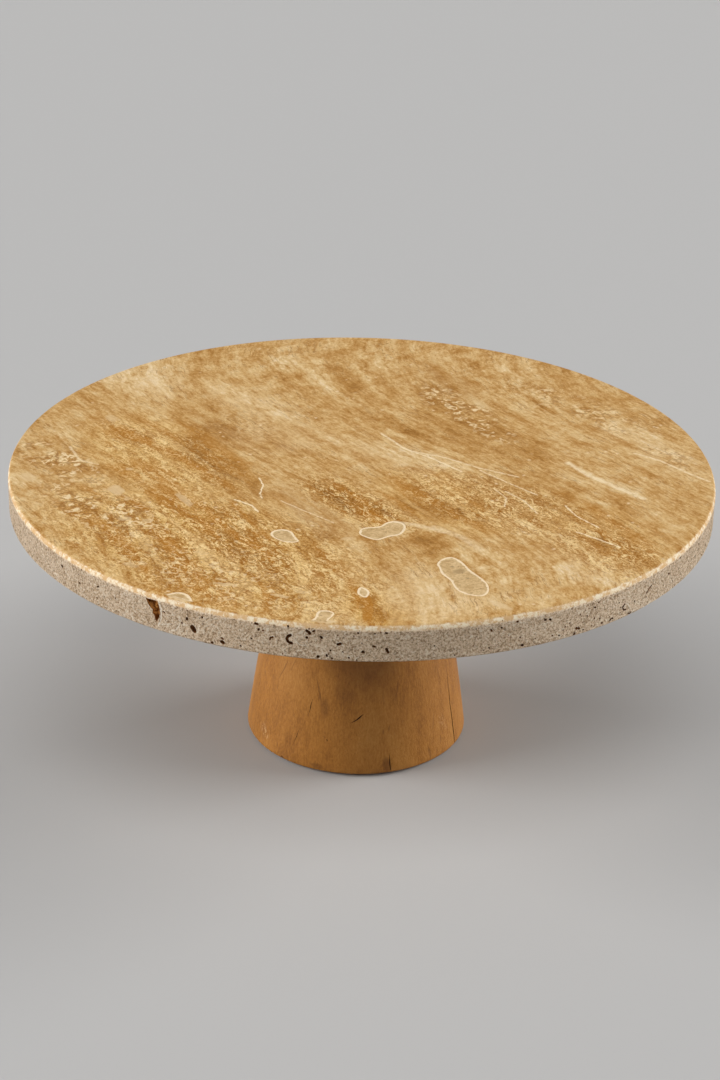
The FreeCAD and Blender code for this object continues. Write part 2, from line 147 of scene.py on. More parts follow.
class Maker:
    """Makes the nodes of one material."""

    def __init__(self, name: str) -> None:
        """Start an empty node material.

        Args:
            name: the material's name.
        """
        self.material = bpy.data.materials.new(name)
        self.material.use_nodes = True
        self.tree = self.material.node_tree
        self.tree.nodes.clear()

    def node(
        self,
        kind: str,
        settings: dict[str, Any] | None = None,
        inputs: dict[str | int, Any] | None = None,
    ) -> bpy.types.Node:
        """Add one node.

        Args:
            kind: the node's type.
            settings: its properties, or "stops" for a colour ramp, which are set first.
            inputs: values or links by socket name or number.

        Returns:
            The node.
        """
        made = self.tree.nodes.new(kind)
        for key, value in (settings or {}).items():
            if key == "stops":
                self._set_stops(made.color_ramp, value)
            else:
                setattr(made, key, value)
        for key, value in (inputs or {}).items():
            self._feed(made.inputs[key], value)
        return made

    def _feed(self, socket: Socket, value: Any) -> None:
        """Link a varying value to a socket, or set a constant on it.

        Args:
            socket: the input socket.
            value: a value, an output socket, or a constant.
        """
        if isinstance(value, Value):
            value = value.socket
        if isinstance(value, Socket):
            self.tree.links.new(value, socket)
        elif socket.type == "RGBA" and len(value) == 3:
            socket.default_value = (*value, 1.0)
        else:
            socket.default_value = value

    @staticmethod
    def _set_stops(ramp: bpy.types.ColorRamp, stops: Sequence[tuple[float, Colour]]) -> None:
        """Give a colour ramp these stops.

        Args:
            ramp: the ramp.
            stops: each stop's position and colour.
        """
        while len(ramp.elements) < len(stops):
            ramp.elements.new(1.0)
        for element, (position, colour) in zip(ramp.elements, stops):
            element.position = position
            element.color = (*colour, 1.0)

    def math(self, operation: str, *operands: Any) -> Value:
        """One Math node over numbers or values.

        Args:
            operation: the node's operation.
            operands: its inputs, in order.

        Returns:
            The result.
        """
        made = self.node("ShaderNodeMath", {"operation": operation}, dict(enumerate(operands)))
        return Value(self, made.outputs[0])

    def vector(self, operation: str, *operands: Any) -> Socket:
        """One Vector Math node that gives a vector.

        Args:
            operation: the node's operation.
            operands: its inputs, in order.

        Returns:
            The vector.
        """
        made = self.node("ShaderNodeVectorMath", {"operation": operation}, dict(enumerate(operands)))
        return made.outputs[0]

    def measure(self, operation: str, *operands: Any) -> Value:
        """One Vector Math node that gives a number, such as a length or a dot product.

        Args:
            operation: the node's operation.
            operands: its inputs, in order.

        Returns:
            The number.
        """
        made = self.node("ShaderNodeVectorMath", {"operation": operation}, dict(enumerate(operands)))
        return Value(self, made.outputs[1])

    def smooth_step(self, value: Value, low: float, high: float) -> Value:
        """A smooth step of a value between two levels.

        Args:
            value: the value.
            low: the level at which the step is 0.
            high: the level at which it is 1, which may be the smaller.

        Returns:
            The step, from 0 to 1.
        """
        ends = (0.0, 1.0)
        if low > high:
            low, high, ends = high, low, (1.0, 0.0)
        made = self.node(
            "ShaderNodeMapRange",
            {"interpolation_type": "SMOOTHSTEP"},
            {0: value, 1: low, 2: high, 3: ends[0], 4: ends[1]},
        )
        return Value(self, made.outputs[0])

    def millimetres(self) -> Socket:
        """The surface point in the object's own frame, in millimetres.

        Returns:
            The point.
        """
        place = self.node("ShaderNodeTexCoord").outputs["Object"]
        made = self.node("ShaderNodeVectorMath", {"operation": "SCALE"}, {0: place, "Scale": 1 / MM})
        return made.outputs[0]

    def split(self, vector: Socket) -> tuple[Value, Value, Value]:
        """The three components of a vector."""
        made = self.node("ShaderNodeSeparateXYZ", None, {0: vector})
        return tuple(Value(self, made.outputs[i]) for i in range(3))

    def join(self, x: Any, y: Any, z: Any) -> Socket:
        """A vector from three components."""
        return self.node("ShaderNodeCombineXYZ", None, {0: x, 1: y, 2: z}).outputs[0]

    def frame_of(
        self,
        vector: Socket,
        centre: Sequence[float] = (0.0, 0.0, 0.0),
        angle: float = 0.0,
        size: Sequence[float] = (1.0, 1.0, 1.0),
        tilt: float = 0.0,
    ) -> Socket:
        """The vector seen from a frame of its own.

        Args:
            vector: the point.
            centre: the frame's centre.
            angle: its turn about Z, in degrees.
            size: the length of its unit along each of its axes.
            tilt: its turn about its own X axis, in degrees, before the turn about Z.

        Returns:
            The point in that frame.
        """
        made = self.node(
            "ShaderNodeMapping",
            {"vector_type": "TEXTURE"},
            {
                "Vector": vector,
                "Location": tuple(centre),
                "Rotation": (math.radians(tilt), 0.0, math.radians(angle)),
                "Scale": tuple(size),
            },
        )
        return made.outputs[0]

    def noise(
        self,
        vector: Socket,
        scale: float,
        detail: float = 2.0,
        roughness: float = 0.5,
        distortion: float = 0.0,
    ) -> Value:
        """Fractal noise from 0 to 1."""
        return Value(self, self._noise(vector, scale, detail, roughness, distortion).outputs[0])

    def noise_vector(self, vector: Socket, scale: float, detail: float = 2.0) -> Socket:
        """Three independent noises as a vector, each about 0.

        Args:
            vector: the point.
            scale: how many features to a millimetre.
            detail: how many finer layers it has.

        Returns:
            The vector.
        """
        made = self._noise(vector, scale, detail, 0.5, 0.0)
        parts = self.node("ShaderNodeSeparateColor", None, {0: made.outputs[1]}).outputs
        return self.vector("SUBTRACT", self.join(*parts[:3]), (0.5, 0.5, 0.5))

    def _noise(
        self,
        vector: Socket,
        scale: float,
        detail: float,
        roughness: float,
        distortion: float,
    ) -> bpy.types.Node:
        """One Noise Texture node.

        Args:
            vector: the point.
            scale: how many features to a millimetre.
            detail: how many finer layers it has.
            roughness: how strong the finer layers are.
            distortion: how far it is pushed about by itself.

        Returns:
            The node.
        """
        return self.node(
            "ShaderNodeTexNoise",
            {"noise_dimensions": "3D"},
            {
                "Vector": vector,
                "Scale": scale,
                "Detail": detail,
                "Roughness": roughness,
                "Distortion": distortion,
            },
        )

    def cells(self, vector: Socket, scale: float) -> Value:
        """The distance to the centre of the nearest of some scattered cells.

        Args:
            vector: the point.
            scale: how many cells to a millimetre.

        Returns:
            The distance, in cells.
        """
        made = self.node("ShaderNodeTexVoronoi", {"feature": "F1"}, {"Vector": vector, "Scale": scale})
        return Value(self, made.outputs["Distance"])

    def warp(self, vector: Socket, scale: float, amount: float, detail: float = 2.0) -> Socket:
        """The vector pushed about by noise, up to about half the amount each way.

        Args:
            vector: the point.
            scale: how many features of the noise to a millimetre.
            amount: how far it pushes.
            detail: how many finer layers it has.

        Returns:
            The pushed point.
        """
        push = self.node(
            "ShaderNodeVectorMath",
            {"operation": "SCALE"},
            {0: self.noise_vector(vector, scale, detail), "Scale": amount},
        )
        return self.vector("ADD", vector, push.outputs[0])

    def on_face(self, vector: Socket) -> Socket:
        """The vector with no height."""
        return self.vector("MULTIPLY", vector, (1.0, 1.0, 0.0))

    def mix(self, factor: Any, first: Any, second: Any) -> Socket:
        """Blend two colours.

        Args:
            factor: the second colour's share.
            first: the first colour.
            second: the second colour.

        Returns:
            The blend.
        """
        made = self.node("ShaderNodeMix", {"data_type": "RGBA"}, {0: factor, 6: first, 7: second})
        return made.outputs[2]

    def ramp(self, value: Value, stops: Sequence[tuple[float, Colour]]) -> Socket:
        """A colour from a value, by a colour ramp."""
        return self.node("ShaderNodeValToRGB", {"stops": stops}, {0: value}).outputs[0]

    def spot(self, vector: Socket, patch: "Patch", hardness: float = 0.0) -> Value:
        """A soft-edged ellipse on the XY plane: the patch's strength inside and 0 outside.

        Args:
            vector: the point, with no height.
            patch: the ellipse's place, size, turn and strength.
            hardness: 0 for a fade that starts at the centre, near 1 for a crisp edge.

        Returns:
            The mask.
        """
        turn = math.radians(patch.angle)
        ahead = (math.cos(turn) / patch.length, math.sin(turn) / patch.length, 0.0)
        aside = (-math.sin(turn) / patch.width, math.cos(turn) / patch.width, 0.0)
        reach = self.vector("SUBTRACT", vector, (*patch.centre, 0.0))
        along = self.measure("DOT_PRODUCT", reach, ahead)
        across = self.measure("DOT_PRODUCT", reach, aside)
        square = along * along + across * across
        made = self.node(
            "ShaderNodeMapRange",
            {"interpolation_type": "SMOOTHSTEP"},
            {0: square, 1: hardness**2, 2: 1.0, 3: patch.strength, 4: 0.0},
        )
        return Value(self, made.outputs[0])

    def stroke(
        self, vector: Socket, start: Sequence[float], end: Sequence[float], width: float
    ) -> Value:
        """A thin soft line, 1 along its middle and 0 outside its width.

        Args:
            vector: the point.
            start: one end; a point of two numbers lies on the XY plane.
            end: the other end.
            width: its half width.

        Returns:
            The mask.
        """
        start, end = (Vector((*point, 0.0)[:3]) for point in (start, end))
        run = end - start
        reach = self.vector("SUBTRACT", vector, tuple(start))
        share = (self.measure("DOT_PRODUCT", reach, tuple(run)) / run.length_squared).clamp()
        along = self.node(
            "ShaderNodeVectorMath", {"operation": "SCALE"}, {0: tuple(run), "Scale": share}
        )
        gap = self.measure("DISTANCE", reach, along.outputs[0])
        return gap.above(width, width * 0.25)

    def strongest(self, masks: Iterable[Value]) -> Value:
        """The largest of several masks.

        Args:
            masks: the masks.

        Returns:
            The largest at each point.
        """
        found = None
        for mask in masks:
            found = mask if found is None else self.math("MAXIMUM", found, mask)
        return found

    def bump(self, height: Value, distance: float, strength: float = 1.0) -> Socket:
        """A normal bumped by a height.

        Args:
            height: the height, from 0 to 1.
            distance: how many metres high 1 is.
            strength: how much of the bump shows.

        Returns:
            The normal.
        """
        inputs = {"Height": height, "Distance": distance, "Strength": strength}
        return self.node("ShaderNodeBump", None, inputs).outputs[0]

    def finish(self, **surface: Any) -> Material:
        """End the material in a Principled shader with these inputs, spaces written as _.

        Args:
            surface: the shader's inputs by name.

        Returns:
            The finished material.
        """
        inputs = {key.replace("_", " "): value for key, value in surface.items()}
        shader = self.node("ShaderNodeBsdfPrincipled", None, inputs)
        self.node("ShaderNodeOutputMaterial", None, {"Surface": shader.outputs[0]})
        return self.material


# ---------------------------------------------------------------------------------------------
# Finishes
# ---------------------------------------------------------------------------------------------


@dataclass(frozen=True)
class Patch:
    """A soft-edged patch of the stone's face, in millimetres and degrees."""

    centre: Point2
    length: float
    width: float
    angle: float = -56.0
    strength: float = 1.0


@dataclass(frozen=True)
class Vein:
    """A thin calcite vein that runs through these points of the stone's face."""

    points: tuple[Point2, ...]
    width: float = 0.7
    strength: float = 1.0


@dataclass(frozen=True)
class RidgeHighlight:
    """A thin pale line on the rim: a painted highlight along a ridge's crest, which has no relief of
    its own.

    Attributes:
        points: its line, each point a turn in degrees from +X and a height from the top in mm.
        width: its half width.
        strength: how much of the painted highlight it takes.
    """

    points: tuple[Point2, ...]
    width: float = 0.35
    strength: float = 0.9


@dataclass(frozen=True)
class Travertine:
    """Golden travertine: a honed and sealed face, a cream eased edge, and a raw grey-beige rim."""

    rim_radius: float
    top: float
    bedding_angle: float = -56.0
    tones: tuple[tuple[float, Colour], ...] = (
        (0.08, srgb(136, 88, 34)),
        (0.34, srgb(182, 134, 72)),
        (0.50, srgb(204, 163, 105)),
        (0.68, srgb(222, 191, 140)),
        (0.92, srgb(240, 218, 180)),
    )
    golden_tones: tuple[tuple[float, Colour], ...] = (
        (0.08, srgb(128, 80, 24)),
        (0.34, srgb(174, 121, 52)),
        (0.50, srgb(201, 154, 84)),
        (0.68, srgb(224, 186, 118)),
        (0.92, srgb(242, 216, 162)),
    )
    cream: Colour = srgb(246, 232, 204)
    edge_tan: Colour = srgb(214, 172, 118)
    haze: Colour = srgb(224, 192, 144)
    streak_deep: Colour = srgb(184, 124, 46)
    streak_pale: Colour = srgb(232, 196, 136)
    crease_dark: Colour = srgb(146, 100, 50)
    crease_pale: Colour = srgb(232, 206, 158)
    crystal: Colour = srgb(246, 214, 152)
    pore: Colour = srgb(142, 86, 24)
    scale_pale: Colour = srgb(246, 218, 162)
    scale_dark: Colour = srgb(156, 98, 30)
    curl_pale: Colour = srgb(240, 216, 172)
    curl_dark: Colour = srgb(146, 98, 46)
    blotch_pale: Colour = srgb(226, 198, 154)
    freckle: Colour = srgb(234, 210, 170)
    calcite: Colour = srgb(246, 226, 188)
    pinhole: Colour = srgb(104, 64, 28)
    mauve: Colour = srgb(172, 138, 104)
    raw_dark: Colour = srgb(168, 138, 107)
    raw: Colour = srgb(229, 201, 168)
    raw_light: Colour = srgb(248, 232, 210)
    raw_speck: Colour = srgb(250, 236, 214)
    raw_hole: Colour = srgb(124, 92, 64)
    # Painted highlight along the crests of the rim's ridges.
    ridge_highlight: Colour = srgb(250, 238, 218)
    pale_patches: tuple[Patch, ...] = (
        Patch((-104, 92), 34, 24, -50),
        Patch((-38, 112), 15, 9, -75, 0.9),
        Patch((-48, 62), 42, 10, -48, 0.9),
        Patch((-20, 92), 26, 7, -68, 0.6),
        Patch((18, 8), 52, 10, -27, 0.9),
        Patch((11, -64), 14, 8, -30, 0.8),
        Patch((30, -126), 30, 19, -80, 0.7),
        Patch((84, -104), 26, 12, -24),
        Patch((73, 88), 46, 9, -70, 0.6),
        Patch((128, 22), 48, 12, -60, 0.7),
        Patch((106, -16), 22, 6, -50, 0.7),
        Patch((-140, -26), 10, 7, -60, 0.4),
        Patch((-98, -38), 14, 9, -20, 0.6),
        Patch((-128, 22), 22, 12, -60, 0.4),
        Patch((50, -98), 26, 9, -60, 0.5),
        Patch((-14, -132), 16, 10, -60, 0.4),
        Patch((6, 122), 26, 9, -75, 0.4),
        Patch((-100, 52), 20, 9, -60, 0.35),
    )
    deep_patches: tuple[Patch, ...] = (
        Patch((-70, 8), 24, 10, -78, 1.2),
        Patch((-60, -8), 46, 14, -60, 0.9),
        Patch((-48, -80), 50, 13, -60, 0.8),
        Patch((-5, -41), 34, 11, -52, 1.3),
        Patch((-14, -70), 11, 10, -50, 0.9),
        Patch((29, -42), 32, 18, -55, 0.8),
        Patch((25, -82), 15, 12, -60, 0.7),
        Patch((-7, 92), 44, 8, -66, 0.6),
        Patch((18, 38), 34, 7, -46, 0.6),
        Patch((42, 95), 30, 10, -62, 0.7),
        Patch((30, 68), 26, 8, -80, 0.7),
        Patch((50, 34), 50, 26, -45, 0.6),
        Patch((104, -80), 30, 12, -55, 0.9),
        Patch((70, -34), 44, 22, -40, 0.5),
        Patch((96, 84), 26, 18, -50, 0.4),
        Patch((-100, 20), 13, 10, -50, 0.7),
        Patch((-95, -52), 8, 6, -30, 0.7),
        Patch((-116, -14), 10, 7, -40, 0.5),
        Patch((4, -132), 22, 6, -66, 0.8),
        Patch((-62, 26), 20, 12, -60, 0.6),
        Patch((-82, -98), 30, 12, -50, 0.4),
    )
    hazy_patches: tuple[Patch, ...] = (
        Patch((28, -124), 34, 24, -70),
        Patch((-104, 92), 40, 24, -50, 0.8),
        Patch((-46, 58), 46, 18, -48, 0.7),
        Patch((-36, 24), 30, 22, -30, 0.6),
        Patch((86, -100), 26, 16, -40, 0.6),
        Patch((128, 20), 46, 16, -60, 0.5),
        Patch((14, 6), 48, 16, -30, 0.6),
    )
    golden_patches: tuple[Patch, ...] = (
        Patch((-62, -84), 92, 56, -48),
        Patch((-86, 0), 62, 40, -58, 0.75),
        Patch((-2, -45), 36, 14, -52),
        Patch((4, -136), 26, 12, -66),
        Patch((32, -38), 44, 26, -50, 0.6),
        Patch((96, -60), 46, 22, -50, 0.4),
    )
    mauve_patches: tuple[Patch, ...] = (
        Patch((-22, -54), 34, 16, -58, 0.8),
        Patch((-62, 24), 30, 14, -50, 0.4),
        Patch((40, 88), 44, 14, -64, 0.4),
    )
    blotches: tuple[Patch, ...] = (
        Patch((-101.5, -35.5), 6.0, 3.6, -70, 0.9),
        Patch((-139.5, -24.5), 5.5, 3.6, -60, 0.7),
        Patch((-95.0, -63.0), 3.2, 2.4, 0, 0.7),
        Patch((-86.0, -64.0), 3.0, 2.2, 20, 0.6),
        Patch((-111.5, 40.5), 5.0, 2.6, -60, 0.6),
        Patch((-72.8, -43.2), 8.5, 2.2, -62, 0.8),
        Patch((-51.0, -119.0), 5.0, 1.3, -8, 0.8),
        Patch((-30.0, -127.5), 4.2, 1.4, -20, 0.8),
        Patch((-88.0, -105.0), 3.6, 2.2, -40, 0.5),
        Patch((-98.0, -14.0), 2.0, 1.6, 0, 0.7),
        Patch((53.5, -131.0), 6.0, 2.0, -40, 0.9),
        Patch((18.0, -2.5), 2.6, 1.8, 0, 0.6),
        Patch((-5.0, -76.5), 3.6, 2.0, 10, 0.5),
        Patch((-67.9, -131.3), 7.0, 1.7, -27, 1.2),
        Patch((-12.6, -147.3), 5.5, 1.7, -5, 1.2),
        Patch((10.5, -69.0), 2.2, 1.4, -40, 0.9),
        Patch((50.5, -128.5), 3.0, 1.2, -60, 0.9),
        Patch((-22.0, -124.0), 3.0, 1.6, -20, 0.6),
    )
    veins: tuple[Vein, ...] = (
        Vein(((-43, -20), (-41, -27), (-42, -36), (-41, -40)), 0.55, 0.9),
        Vein(((-52, -42), (-45, -47), (-42, -53)), 0.7, 0.9),
        Vein(((-33, -42), (-20, -54), (-11, -62)), 0.5, 0.6),
        Vein(((8, 31), (18, 15), (30, 5), (42, -8)), 0.9, 0.7),
        Vein(((22, 12), (36, 6), (50, -4), (66, -12)), 0.8, 0.6),
        Vein(((50, -6), (62, -19), (73, -30)), 0.6, 0.7),
        Vein(((60, -27), (67, -36), (72, -48)), 0.6, 0.7),
        Vein(((55, -24), (60, -34), (59, -42)), 0.5, 0.6),
        Vein(((84, -40), (88, -50), (96, -60)), 0.6, 0.8),
        Vein(((87, -65), (95, -71), (103, -78)), 0.7, 0.9),
        Vein(((88, 4), (97, -10), (106, -19), (117, -31)), 2.0, 0.6),
        Vein(((118, 16), (128, 9), (139, -4), (147, -12)), 1.0, 0.6),
        Vein(((14, -60), (22, -62), (34, -68)), 2.2, 0.45),
        Vein(((30, -64), (40, -72), (48, -84)), 2.6, 0.35),
        Vein(((-126, 8), (-120, -6), (-112, -10)), 0.9, 0.5),
    )
    grain_patches: tuple[Patch, ...] = (
        Patch((-58, -90), 100, 55, -40),
        Patch((-84, -4), 64, 30, -58, 0.7),
        Patch((-2, -42), 46, 18, -52),
        Patch((54, -40), 56, 30, -40, 0.9),
        Patch((96, -76), 50, 24, -60, 0.8),
    )
    # Painted highlights: pale lines along ridge crests of the rim.
    lit_ridges: tuple[RidgeHighlight, ...] = (
        RidgeHighlight(((-120.3, -2.6), (-119.9, -5.5), (-119.8, -7.7), (-120.0, -10.9), (-120.4, -13.0)), 0.4),
        RidgeHighlight(((-120.0, -12.4), (-119.2, -11.6), (-118.4, -10.9)), 0.35, 0.7),
        RidgeHighlight(((-116.7, -6.6), (-116.6, -8.7), (-116.8, -10.5), (-117.3, -12.7), (-118.2, -13.8))),
        RidgeHighlight(((-113.7, -9.2), (-113.5, -10.6), (-113.9, -11.8)), 0.3, 0.8),
        RidgeHighlight(((-98.6, -6.6), (-98.9, -8.0), (-98.2, -9.6), (-97.2, -9.9)), 0.3, 0.8),
        RidgeHighlight(((-92.9, -7.4), (-92.3, -7.9), (-92.0, -8.7)), 0.3, 0.8),
        RidgeHighlight(((-46.6, -9.0), (-45.9, -10.0), (-45.6, -11.4)), 0.35, 0.8),
        RidgeHighlight(((-45.6, -15.2), (-44.9, -14.6), (-44.4, -13.8)), 0.35, 0.8),
        RidgeHighlight(((-41.0, -14.6), (-40.2, -14.4)), 0.5, 0.6),
    )
    curl_patches: tuple[Patch, ...] = (
        Patch((-106, -54), 44, 20, -40, 0.95),
        Patch((-128, -8), 34, 15, -50),
        Patch((-56, -112), 60, 20, -30, 0.6),
        Patch((46, 58), 52, 13, -62, 0.9),
        Patch((98, 66), 46, 14, -48, 0.7),
        Patch((132, 14), 26, 10, -60, 0.5),
        Patch((-50, 38), 26, 16, -45, 0.3),
    )

    def material(self) -> Material:
        """The stone's material, with the face, eased edge and raw sides told apart by place.

        Returns:
            The material.
        """
        m = Maker("filled_travertine")
        place = m.millimetres()
        x, y, z = m.split(place)
        flat = m.join(x, y, 0.0)
        radius = m.measure("LENGTH", flat)
        depth = self.top - z

        face, gloss = self._face(m, flat)
        raw, relief = self._raw(m, place)

        ragged = (m.noise(place, 0.4, 4.0, 0.7) - 0.5) * 1.8
        worn = m.math(
            "MAXIMUM",
            (radius + ragged).above(self.rim_radius - 0.9, self.rim_radius - 0.2),
            (depth + ragged * 0.4).above(0.3, 0.8),
        )
        unpolished = (depth + ragged * 0.9).above(1.9, 2.7)
        edge_tone = m.noise(place, 0.28, 5.0, 0.8).above(0.4, 0.56)
        edge = m.mix(edge_tone * 0.9, self.cream, self.edge_tan)

        colour = m.mix(worn, face, edge)
        colour = m.mix(unpolished, colour, raw)
        rough = (gloss * (1.0 - unpolished) + unpolished * 0.92).clamp()
        polish = (self.top - m.split(m.millimetres())[2]).above(3.2, 2.0) * 0.94
        normal = m.bump(relief * (1.0 - polish), 0.0013, 1.0)
        return m.finish(Base_Color=colour, Roughness=rough, Normal=normal, Specular_IOR_Level=0.04)

    def _patches(
        self, m: Maker, flat: Socket, patches: Sequence[Patch], hardness: float = 0.0
    ) -> Value:
        """The strongest of several patches at each point."""
        return m.strongest(m.spot(flat, patch, hardness) for patch in patches)

    def _face(self, m: Maker, flat: Socket) -> tuple[Socket, Value]:
        """The honed face's colour and roughness: bedding, bands, curls, blotches and veins.

        Args:
            m: the material's maker.
            flat: the point, with no height.

        Returns:
            The colour and the roughness.
        """
        x, y, _ = m.split(flat)
        bent = m.join(x + y * 0.12 - y * y * y * 1.4e-5, y, 0.0)
        swaying = m.warp(m.warp(bent, 0.01, 14.0, 1.0), 0.07, 3.0, 2.0)
        drifting = m.on_face(m.warp(swaying, 0.3, 1.2, 2.0))
        bedded = m.frame_of(drifting, angle=self.bedding_angle)

        broad = m.noise(m.frame_of(bedded, size=(110, 13, 1)), 1.0, 3.0, 0.5)
        middle = m.noise(m.frame_of(bedded, size=(26, 4.6, 1)), 1.0, 4.0, 0.65)
        fine = m.noise(m.frame_of(bedded, (7, 3, 0), 0, (6, 1.5, 1)), 1.0, 4.0, 0.7)
        cloud = m.noise(drifting, 0.1, 6.0, 0.65)
        grain = m.noise(m.frame_of(flat, angle=-50, size=(2.2, 1.4, 1)), 1.0, 3.0, 0.8, 0.3)

        wandering = m.on_face(m.warp(flat, 0.06, 14.0, 4.0))
        lifted = self._patches(m, wandering, self.pale_patches)
        sunk = self._patches(m, wandering, self.deep_patches)
        dulled = self._patches(m, wandering, self.mauve_patches)
        gilded = self._patches(m, wandering, self.golden_patches) * (0.5 + middle)
        sugared = self._patches(m, wandering, self.grain_patches) * 0.8 + 0.2

        tone = (
            0.5
            + (broad - 0.5) * 0.4
            + (middle - 0.5) * 0.7
            + (fine - 0.5) * 0.65
            + (cloud - 0.5) * 0.7
            + (grain - 0.5) * (sugared * 0.9 + 0.4)
            + (lifted - sunk) * ((fine - 0.3) * 0.5 + (middle - 0.3) * 0.5)
            - 0.01
        )
        colour = m.mix(gilded, m.ramp(tone, self.tones), m.ramp(tone, self.golden_tones))
        colour = m.mix(dulled * middle.above(0.35, 0.65) * 0.45, colour, self.mauve)
        hazed = self._patches(m, wandering, self.hazy_patches)
        colour = m.mix(hazed * cloud.above(0.3, 0.65) * 0.6, colour, self.haze)

        # Long streaks in the golden part, deep gold beside pale gold.
        bands = m.noise(m.frame_of(bedded, (20, 5, 0), 0, (85, 8.5, 1)), 1.0, 3.0, 0.55)
        colour = m.mix(bands.above(0.5, 0.58) * gilded * 0.8, colour, self.streak_deep)
        colour = m.mix(bands.above(0.47, 0.38) * gilded * 0.6, colour, self.streak_pale)

        colour = self._creases(m, colour, flat, drifting, bedded, fine)
        colour, sugar = self._crystals(m, colour, flat, sugared, middle.above(0.36, 0.62))
        colour = self._scales(m, colour, flat, sugared * cloud.above(0.38, 0.54))
        colour = self._curls(m, colour, flat, self._patches(m, wandering, self.curl_patches, 0.3))
        colour = self._calcite(m, colour, flat)
        gloss = 0.64 + (cloud - 0.5) * 0.12 - sugar * 0.05
        return colour, gloss

    def _creases(
        self, m: Maker, colour: Socket, flat: Socket, drifting: Socket, bedded: Socket, fine: Value
    ) -> Socket:
        """Add thin lines along the bedding, some dark and some pale.

        Args:
            m: the material's maker.
            colour: the colour so far.
            flat: the point, with no height.
            drifting: the point, pushed about.
            bedded: the same in the bedding's frame.
            fine: the finest noise along the bedding.

        Returns:
            The new colour.
        """
        thread = m.noise(m.frame_of(bedded, (70, 30, 0), 0, (34, 2.6, 1)), 1.0, 3.0, 0.55)
        crease = abs(thread - 0.5)
        creased = m.noise(drifting, 0.05, 2.0).above(0.46, 0.6)
        colour = m.mix(crease.above(0.016, 0.004) * creased * 0.6, colour, self.crease_dark)
        ridge = abs(fine - 0.56).above(0.012, 0.003) * m.noise(flat, 0.06, 2.0).above(0.5, 0.62)
        colour = m.mix(ridge * 0.45, colour, self.crease_pale)
        return colour

    def _crystals(
        self, m: Maker, colour: Socket, flat: Socket, sugared: Value, banded: Value
    ) -> tuple[Socket, Value]:
        """Add sugary crystals and the pores between them.

        Args:
            m: the material's maker.
            colour: the colour so far.
            flat: the point, with no height.
            sugared: how sugary the stone is.
            banded: where the pale bands are.

        Returns:
            The new colour and the crystals' mask.
        """
        specks = m.noise(flat, 1.05, 3.0, 0.75, 0.4)
        sparkle = m.cells(m.warp(flat, 1.1, 0.9), 0.9)
        sugar = (specks.above(0.5, 0.62) * 0.75 + sparkle.above(0.4, 0.12) * 0.35) * sugared
        colour = m.mix(sugar * (banded * 0.7 + 0.2), colour, self.crystal)
        pores = specks.above(0.46, 0.37) * sugared
        colour = m.mix(pores * (0.85 - banded * 0.6), colour, self.pore)
        return colour, sugar

    def _scales(self, m: Maker, colour: Socket, flat: Socket, scaled: Value) -> Socket:
        """Add scales: crisp wavy lines, pale beside dark.

        Args:
            m: the material's maker.
            colour: the colour so far.
            flat: the point, with no height.
            scaled: how much they show.

        Returns:
            The new colour.
        """
        turned = m.frame_of(m.warp(flat, 0.25, 2.4), angle=-54, size=(9.5, 3.0, 1))
        scaly = m.noise(turned, 1.0, 2.0, 0.6, 0.8)
        scales = m.math("PINGPONG", scaly * 7.0, 1.0)
        colour = m.mix(scales.above(0.72, 0.9) * scaled * 0.9, colour, self.scale_pale)
        colour = m.mix(scales.above(0.3, 0.1) * scaled * 0.8, colour, self.scale_dark)
        return colour

    def _curls(self, m: Maker, colour: Socket, flat: Socket, curled: Value) -> Socket:
        """Add curls, the thin contour lines of a slow noise.

        Args:
            m: the material's maker.
            colour: the colour so far.
            flat: the point, with no height.
            curled: how much they show.

        Returns:
            The new colour.
        """
        curling = m.noise(m.warp(flat, 0.17, 4.5, 3.0), 0.17, 2.0, 0.5)
        rings = m.math("PINGPONG", curling * 7.5, 1.0)
        curled = curled * m.noise(flat, 0.09, 3.0).above(0.38, 0.52)
        colour = m.mix(rings.above(0.66, 0.88) * curled * 0.95, colour, self.curl_pale)
        colour = m.mix(rings.above(0.36, 0.1) * curled * 0.7, colour, self.curl_dark)
        return colour

    def _calcite(self, m: Maker, colour: Socket, flat: Socket) -> Socket:
        """Add pale blotches and specks of calcite, pinholes, and veins that break up.

        Args:
            m: the material's maker.
            colour: the colour so far.
            flat: the point, with no height.

        Returns:
            The new colour.
        """
        frayed = m.on_face(m.warp(flat, 0.35, 3.2, 4.0))
        blotch = self._patches(m, frayed, self.blotches, 0.6)
        colour = m.mix(blotch * 0.75, colour, self.blotch_pale)
        freckles = m.cells(m.warp(flat, 0.6, 1.2), 0.16)
        freckled = freckles.above(0.16, 0.06) * m.noise(flat, 0.05, 2.0).above(0.48, 0.6)
        colour = m.mix(freckled * 0.75, colour, self.freckle)

        trembling = m.on_face(m.warp(flat, 0.5, 1.4, 3.0))
        broken = m.noise(flat, 0.5, 4.0, 0.7).above(0.4, 0.52)
        veined = m.strongest(
            m.stroke(trembling, start, end, v.width) * v.strength
            for v in self.veins
            for start, end in zip(v.points, v.points[1:])
        )
        colour = m.mix(veined * (broken * 0.7 + 0.45), colour, self.calcite)

        pinholes = m.cells(flat, 0.09).above(0.035, 0.02)
        colour = m.mix(pinholes * 0.7, colour, self.pinhole)
        return colour

